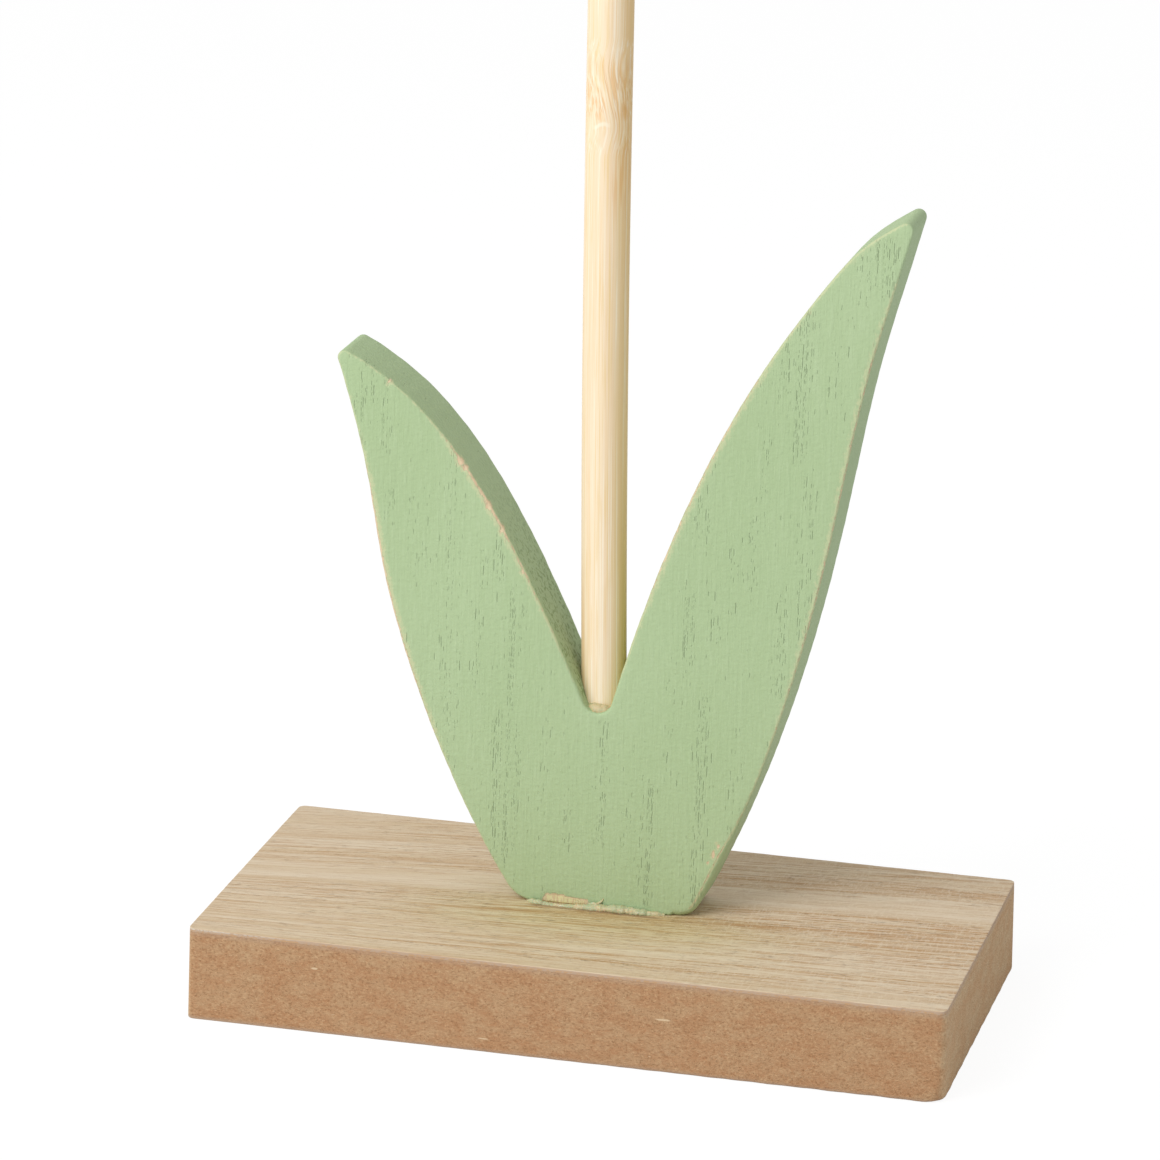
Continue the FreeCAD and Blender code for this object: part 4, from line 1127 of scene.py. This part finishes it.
# The foot glue: dried wood glue that was pressed out along the front of the leaves' foot. It is thin
# and whitish, lumpy in the right half, and rubbed flat where the paint has gone.
FOOT_GLUE_LINE = (
    # across, before the leaves' front, above the veneer, radius, in millimetres
    (-10.5, -0.1, 0.0, 0.12), (-9.8, -0.4, 0.05, 0.4), (-8.9, -0.55, 0.1, 0.5),
    (-8.2, -0.6, -0.06, 0.4), (-7.2, -0.6, -0.12, 0.36), (-6.0, -0.6, -0.12, 0.36),
    (-4.8, -0.6, -0.1, 0.4), (-3.4, -0.62, -0.02, 0.46), (-2.2, -0.62, 0.06, 0.54),
    (-0.6, -0.6, 0.12, 0.6), (0.6, -0.6, 0.16, 0.64), (1.8, -0.6, 0.2, 0.66),
    (3.0, -0.58, 0.2, 0.64), (4.2, -0.54, 0.15, 0.62), (5.2, -0.56, 0.1, 0.58),
    (6.0, -0.4, 0.08, 0.46), (7.2, -0.25, 0.05, 0.38), (8.1, 0.0, 0.0, 0.18),
)
FOOT_THREAD_LINE = (
    (-2.2, -0.4, 0.6, 0.16), (-1.6, -0.4, 0.65, 0.2), (-1.0, -0.34, 0.7, 0.2), (-0.6, -0.18, 0.85, 0.18),
    (-0.3, -0.05, 1.1, 0.12), (-0.1, 0.05, 1.45, 0.08),
)
GLUE_CREAM = srgb(206, 192, 150)
GLUE_GREY = srgb(182, 186, 146)
GLUE_WHITE = srgb(222, 216, 194)
GLUE_TAN = srgb(196, 166, 126)
GLUE_BROWN = srgb(208, 188, 144)

dried_glue, tree = new_material("dried_glue")
place = place_in(tree)
patches = noise_in(tree, place, (1.5, 1.5, 1.2), detail=3)
grains = noise_in(tree, place, (0.5, 0.5, 0.5), detail=3, roughness=0.6)
colour = blend(tree, smooth_step(tree, patches, 0.34, 0.56), GLUE_CREAM, GLUE_GREY)
# round the stick it is browner, as it took up wood dust
glue_height = parts_of(tree, place)[2]
colour = layered(
    tree, colour,
    (grains, 0.58, 0.7, 0.7, GLUE_WHITE), (grains, 0.42, 0.3, 0.7, GLUE_TAN),
    (glue_height, 25 * MM, 30 * MM, 0.6, GLUE_BROWN))
finish_material(tree, colour, 0.42, grains, 0.12 * MM, gloss=0.4, **{
    "Subsurface Weight": 0.15, "Subsurface Scale": 0.4 * MM})

bead_sizes = {"Sides": 20, "Step": 0.12 * MM, "Lump Length": 0.9 * MM, "Lumpiness": 0.5,
              "Lowest": 0.0, "Seed": 1.0, "Dents": 2600.0, "Dent Depth": 0.35 * MM}
bead_tree, given, result = new_tree("glue_bead_along_its_path", bead_sizes)
fine_line = add(bead_tree, "GeometryNodeResampleCurve", {
    "Curve": given["Geometry"], "Length": given["Step"]}, mode="LENGTH")
spot = add(bead_tree, "GeometryNodeInputPosition").outputs[0]
lump_count = math_of(bead_tree, "DIVIDE", 1.0, given["Lump Length"])
lump = add(bead_tree, "ShaderNodeTexNoise", {
    "Vector": spot, "W": given["Seed"], "Scale": lump_count, "Detail": 2.0}, noise_dimensions="4D")
lump_level = math_of(bead_tree, "SUBTRACT", lump.outputs[0], 0.5)
lump_share = math_of(bead_tree, "MULTIPLY_ADD", lump_level, given["Lumpiness"], 1.0)
own_radius = add(bead_tree, "GeometryNodeInputRadius").outputs[0]
swollen = add(bead_tree, "GeometryNodeSetCurveRadius", {
    "Curve": fine_line.outputs[0], "Radius": times(bead_tree, own_radius, lump_share)})
bead_round = add(bead_tree, "GeometryNodeCurvePrimitiveCircle", {
    "Resolution": given["Sides"], "Radius": 1.0})
bead = add(bead_tree, "GeometryNodeCurveToMesh", {
    "Curve": swollen.outputs[0], "Profile Curve": bead_round.outputs["Curve"], "Scale": own_radius,
    "Fill Caps": True})
dent = add(bead_tree, "ShaderNodeTexNoise", {
    "Vector": spot, "W": given["Seed"], "Scale": given["Dents"], "Detail": 2.0}, noise_dimensions="4D")
dent_way = vectors(bead_tree, "SUBTRACT", dent.outputs[1], (0.5, 0.5, 0.5))
dent_shift = vectors(bead_tree, "SCALE", dent_way, scale=given["Dent Depth"])
dented = add(bead_tree, "GeometryNodeSetPosition", {"Geometry": bead.outputs[0], "Offset": dent_shift})
lowest = vector_of(bead_tree, -1.0, -1.0, given["Lowest"])
settled = add(bead_tree, "GeometryNodeSetPosition", {
    "Geometry": dented.outputs[0], "Position": vectors(bead_tree, "MAXIMUM", spot, lowest)})
soft = add(bead_tree, "GeometryNodeSetShadeSmooth", {
    "Geometry": settled.outputs[0], "Shade Smooth": True})
close_tree(bead_tree, soft.outputs[0], dried_glue, result)


def glue_bead(name, lines, closed=False, **changes):
    """A bead of glue along one or more lines of points with their radii."""
    line_data = bpy.data.curves.new(f"{name}_line", "CURVE")
    line_data.dimensions = "3D"
    for line in lines:
        spline = line_data.splines.new("POLY")
        spline.points.add(len(line) - 1)
        spline.use_cyclic_u = closed
        for point, (*spot, radius) in zip(spline.points, line):
            point.co = (*spot, 1)
            point.radius = radius
    carrier = bpy.data.objects.new(f"{name}_line", line_data)
    scene.collection.objects.link(carrier)
    return grown(carrier, bead_tree, {**bead_sizes, **changes}, name)


foot_lines = [[(across * MM, LEAF_FRONT + before * MM, VENEER_HIGH.z + above * MM, radius * MM)
               for across, before, above, radius in line] for line in (FOOT_GLUE_LINE, FOOT_THREAD_LINE)]
foot_bead = glue_bead("foot_bead", foot_lines, Lowest=VENEER_HIGH.z, Lumpiness=0.9)
stands_for(foot_bead, "foot_glue")

# The notch glue: glue that rose round the stick where it enters the leaves, in front and behind. It
# fills the round bottom of the notch up to a clear seam on the stick.
NOTCH_GLUE_LINE = (
    # across, before the stick's middle, height, radius, in millimetres
    (-3.5, -2.4, 39.7, 0.3), (-3.1, -2.7, 39.45, 0.55), (-2.6, -2.95, 39.4, 0.8), (-2.0, -3.1, 39.4, 0.9),
    (-1.4, -3.15, 39.3, 0.9), (-0.8, -3.1, 39.3, 0.82), (-0.3, -2.9, 39.35, 0.65), (0.05, -2.6, 39.5, 0.48),
    (0.3, -2.4, 39.8, 0.28),
)
NOTCH_LIP_LINE = (
    (-2.4, -3.9, 39.35, 0.2), (-1.9, -4.0, 38.95, 0.32), (-1.2, -4.1, 38.75, 0.38),
    (-0.6, -4.0, 38.85, 0.32), (-0.05, -3.9, 39.3, 0.18),
)
notch_lines = [[(across * MM, SCREW_ROW + side * before * MM, height * MM, radius * MM)
                for across, before, height, radius in line]
               for line, side in ((NOTCH_GLUE_LINE, 1), (NOTCH_LIP_LINE, 1), (NOTCH_GLUE_LINE, -1))]
notch_bead = glue_bead("notch_bead", notch_lines, Seed=4.0, Lumpiness=0.25)
stands_for(notch_bead, "notch_glue")

# The tulip head: the flower with its three points, cut from the same 9 mm wood as the leaves and
# painted soft pink. The photograph ends below it. It is drilled from below and glued on the stick.
HEAD_LOW, HEAD_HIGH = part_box("tulip_head")
HEAD_FRONT, HEAD_BACK = HEAD_LOW.y, HEAD_HIGH.y
HEAD_WIDTH = 58 * MM
HEAD_HEIGHT = 72 * MM
HEAD_POINT_RADIUS = 1.2 * MM
HEAD_VALLEY_RADIUS = 2.0 * MM
HEAD_ON_STEM = 201 * MM
HEAD_LEFT_SHARES = (
    ((-0.1, 0.0), (-0.32, 0.0), (-0.5, 0.16), (-0.52, 0.48), (-0.44, 0.7), (-0.5, 0.93)),
    ((-0.5, 0.93), (-0.37, 0.87), (-0.27, 0.73), (-0.2, 0.6)),
    ((-0.2, 0.6), (-0.16, 0.75), (-0.08, 0.87), (0.0, 1.0)),
)
HEAD_FOOT_SHARES = ((0.1, 0.0), (0.03, 0.0), (-0.03, 0.0), (-0.1, 0.0))
HEAD_CORNER_RADII = (0, HEAD_POINT_RADIUS, HEAD_VALLEY_RADIUS, HEAD_POINT_RADIUS, HEAD_VALLEY_RADIUS,
                     HEAD_POINT_RADIUS, 0)
HEAD_WEAR = (
    ((0, 0.3), (15, 0.6), (40, 0.75), (55, 0.5), (67, 0.4)),
    ((43, 0.5), (55, 0.8), (67, 0.4)),
    ((43, 0.5), (60, 0.7), (72, 0.4)),
    ((43, 0.6), (60, 0.6), (72, 0.4)),
    ((43, 0.5), (55, 0.65), (67, 0.5)),
    ((0, 0.4), (20, 0.7), (45, 0.6), (67, 0.3)),
    ((0, 0.4), (1, 0.4)),
)
HEAD_STREAMS = 34
HEAD_SEED = 8

flower_paint = painted_wood(
    "flower_paint", srgb(224, 162, 156), srgb(217, 152, 146), srgb(232, 176, 170), srgb(236, 200, 178),
    srgb(222, 196, 160), srgb(204, 166, 134), srgb(230, 214, 178), srgb(176, 114, 108))
head_scale = np.array([HEAD_WIDTH, HEAD_HEIGHT])
left_curves = [np.array(curve) * head_scale for curve in HEAD_LEFT_SHARES]
right_curves = [curve[::-1] * (-1, 1) for curve in left_curves[::-1]]
head_outline, head_parts = cut_line(
    left_curves + right_curves + [np.array(HEAD_FOOT_SHARES) * head_scale], HEAD_CORNER_RADII, LEAF_STEP)
head_run = run_of(head_outline)
head_outline += inward(head_outline) * (SAW_WANDER * waves(head_run, 41, 9 * MM, 4 * MM, 2 * MM))[:, None]
head_arris = PAINTED_ARRIS * (1 + 0.25 * waves(head_run, 42, 11 * MM, 5 * MM))
head_points, head_faces, head_past = flat_stock(
    head_outline, HEAD_FRONT, HEAD_BACK, head_arris, head_arris[::-1], LEAF_GRID, side_rows=9)
head_wear = edge_wear(head_points, head_past, head_outline, head_arris, head_parts, HEAD_WEAR, BACK_WEAR,
                      HEAD_FRONT, HEAD_BACK)
chance = np.random.default_rng(HEAD_SEED)
head_streams = []
for _ in range(HEAD_STREAMS):
    stream_low = chance.uniform(0, 58)
    head_streams.append((chance.uniform(-27, 27), stream_low, stream_low + chance.uniform(6, 18),
                         chance.uniform(0.9, 2.2), chance.uniform(0.4, 0.95)))
head_pores = np.where(head_past > SIDE_START, 0, stream_fullness(head_points, head_streams))
stem_top = on_stem(HEAD_ON_STEM)
across_head = np.array([math.cos(STEM_TOP_LEAN), 0, math.sin(STEM_TOP_LEAN)])
up_head = np.array([-math.sin(STEM_TOP_LEAN), 0, math.cos(STEM_TOP_LEAN)])
head_places = (np.array([stem_top.x, 0, stem_top.z]) + head_points[:, :1] * across_head
               + head_points[:, 1:2] * up_head + head_points[:, 2:] * np.array([0, 1, 0]))
flower = new_piece("flower", head_places, head_faces, flower_paint)
keep_marks(flower, "wear", head_wear)
keep_marks(flower, "pore_streams", head_pores)
stands_for(flower, "tulip_head")

# The head glue: the ring of dried glue that was pressed out round the stick under the flower. It is
# the same glue as at the foot and lies against the flower's flat bottom.
HEAD_GLUE_RING = 3.3 * MM
HEAD_GLUE_RADIUS = 0.55 * MM
HEAD_GLUE_DROP = 0.45 * MM
HEAD_GLUE_POINTS = 36
ring_middle = stem_top - Vector(up_head) * HEAD_GLUE_DROP
head_ring = []
for turn in np.linspace(0, 2 * math.pi, HEAD_GLUE_POINTS, endpoint=False):
    out = Vector(across_head) * math.cos(turn) + Vector((0, 1, 0)) * math.sin(turn)
    swell = 1 + 0.35 * math.sin(turn * 2 + 1) * math.sin(turn + 2)
    head_ring.append((*(ring_middle + out * HEAD_GLUE_RING), HEAD_GLUE_RADIUS * swell))
head_bead = glue_bead("head_bead", [head_ring], closed=True, Seed=7.0)
stands_for(head_bead, "head_glue")

# The leaf screws: two zinc-plated countersunk wood screws, 3.5 x 25 mm, driven up through the base
# into the leaves' foot. Only their heads can be seen, from below.
SCREW_LOW, SCREW_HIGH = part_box("leaf_screws")
SCREW_HEAD_RADIUS = 3.5 * MM
SCREW_RIM = 0.4 * MM
SCREW_THREAD_RADIUS = 1.75 * MM
SCREW_CORE_RADIUS = 1.2 * MM
SCREW_PITCH = 1.6 * MM
SCREW_SMOOTH_END = 9.5 * MM
SCREW_TIP = 4 * MM
RECESS_LENGTH = 4.2 * MM
RECESS_WIDTH = 1.1 * MM
RECESS_DEPTH = 1.6 * MM
RECESS_SIDE_SLOPE = 0.15 * MM
RECESS_END_SLOPE = 0.5 * MM
RECESS_ROWS = 32
SCREW_EDGE = 0.1 * MM
SCREW_STEP = 0.4 * MM
SCREW_SHANK_SHARE = 1.25
THREAD_ROW_STEP = 0.16 * MM
THREAD_END = 0.05 * MM
CREST_SHARE = 0.28
SCREW_SIDES = 64
SCREW_SHARP_ANGLE = math.radians(40)
ZINC = srgb(206, 208, 208)
ZINC_YELLOW = srgb(206, 202, 184)

zinc_steel, tree = new_material("zinc_steel")
place = place_in(tree)
tarnish = noise_in(tree, place, (2, 2, 2), detail=4)
scratches = noise_in(tree, place, (0.6, 0.08, 0.3), detail=3)
colour = blend(tree, smooth_step(tree, tarnish, 0.4, 0.65), ZINC, ZINC_YELLOW)
shine = add(tree, "ShaderNodeMapRange", {"Value": scratches, "To Min": 0.25, "To Max": 0.45}).outputs[0]
finish_material(tree, colour, shine, scratches, 0.02 * MM, Metallic=1.0)


def screw_mesh():
    """One screw, head down, its face at height zero: face with a cross recess, cone, thread and tip."""
    length = SCREW_HIGH.z - SCREW_LOW.z
    angles = np.linspace(0, 2 * math.pi, SCREW_SIDES, endpoint=False)
    circle = np.column_stack([np.cos(angles), np.sin(angles)])
    rows = []
    for radius in np.linspace(0.03 * MM, SCREW_HEAD_RADIUS - SCREW_EDGE, RECESS_ROWS):
        flat = circle * radius
        inside = [np.clip((RECESS_WIDTH / 2 - abs(flat[:, one])) / RECESS_SIDE_SLOPE, 0, 1)
                  * np.clip((RECESS_LENGTH / 2 - abs(flat[:, other])) / RECESS_END_SLOPE, 0, 1)
                  for one, other in ((0, 1), (1, 0))]
        rows.append(np.column_stack([flat, RECESS_DEPTH * np.maximum(*inside)]))
    cone_end = SCREW_RIM + SCREW_HEAD_RADIUS - SCREW_THREAD_RADIUS
    shank = SCREW_CORE_RADIUS * SCREW_SHANK_SHARE
    for radius, height in ((SCREW_HEAD_RADIUS, SCREW_EDGE), (SCREW_HEAD_RADIUS, SCREW_RIM),
                           (SCREW_THREAD_RADIUS, cone_end), (shank, cone_end + SCREW_STEP),
                           (shank, SCREW_SMOOTH_END - SCREW_STEP)):
        rows.append(np.column_stack([circle * radius, np.full(SCREW_SIDES, height)]))
    thread_height = SCREW_THREAD_RADIUS - SCREW_CORE_RADIUS
    for height in np.arange(SCREW_SMOOTH_END, length - THREAD_END, THREAD_ROW_STEP):
        phase = (height / SCREW_PITCH - angles / (2 * math.pi)) % 1
        crest = np.clip(1 - abs(phase - 0.5) / CREST_SHARE, 0, 1)
        grow = min(1, (height - SCREW_SMOOTH_END) / SCREW_PITCH)
        taper = min(1, max(0, (length - height) / SCREW_TIP))
        radius = SCREW_CORE_RADIUS * taper + thread_height * crest * grow * taper ** 0.5
        rows.append(np.column_stack([circle * radius[:, None], np.full(SCREW_SIDES, height)]))
    points = np.vstack(rows + [[(0, 0, RECESS_DEPTH)], [(0, 0, length)]])
    faces = []
    for row in range(len(rows) - 1):
        faces += ring_faces(row * SCREW_SIDES, (row + 1) * SCREW_SIDES, SCREW_SIDES)
    last = (len(rows) - 1) * SCREW_SIDES
    for item in range(SCREW_SIDES):
        after = (item + 1) % SCREW_SIDES
        faces.append((item, after, len(points) - 2))
        faces.append((last + after, last + item, len(points) - 1))
    return points, faces


screw_sizes = {"Count": 2, "First": screw_middles[0][0], "Row": SCREW_ROW, "Height": SCREW_LOW.z,
               "Spacing": SCREW_SPACING, "Turn": 0.7}
screw_tree, given, result = new_tree("screws_in_a_row", screw_sizes)
first_place = vector_of(screw_tree, given["First"], given["Row"], given["Height"])
row = add(screw_tree, "GeometryNodeMeshLine", {
    "Count": given["Count"], "Start Location": first_place,
    "Offset": vector_of(screw_tree, given["Spacing"])})
number = add(screw_tree, "GeometryNodeInputIndex").outputs[0]
turn = add(screw_tree, "FunctionNodeEulerToRotation", {
    0: vector_of(screw_tree, 0.0, 0.0, times(screw_tree, number, given["Turn"]))})
placed = add(screw_tree, "GeometryNodeInstanceOnPoints", {
    "Points": row.outputs[0], "Instance": given["Geometry"], "Rotation": turn.outputs[0]})
close_tree(screw_tree, placed.outputs[0], zinc_steel, result)
one_screw = new_piece("one_screw", *screw_mesh(), zinc_steel)
screws = grown(one_screw, screw_tree, screw_sizes, "screws")
screws.data.set_sharp_from_angle(angle=SCREW_SHARP_ANGLE)
stands_for(screws, "leaf_screws")
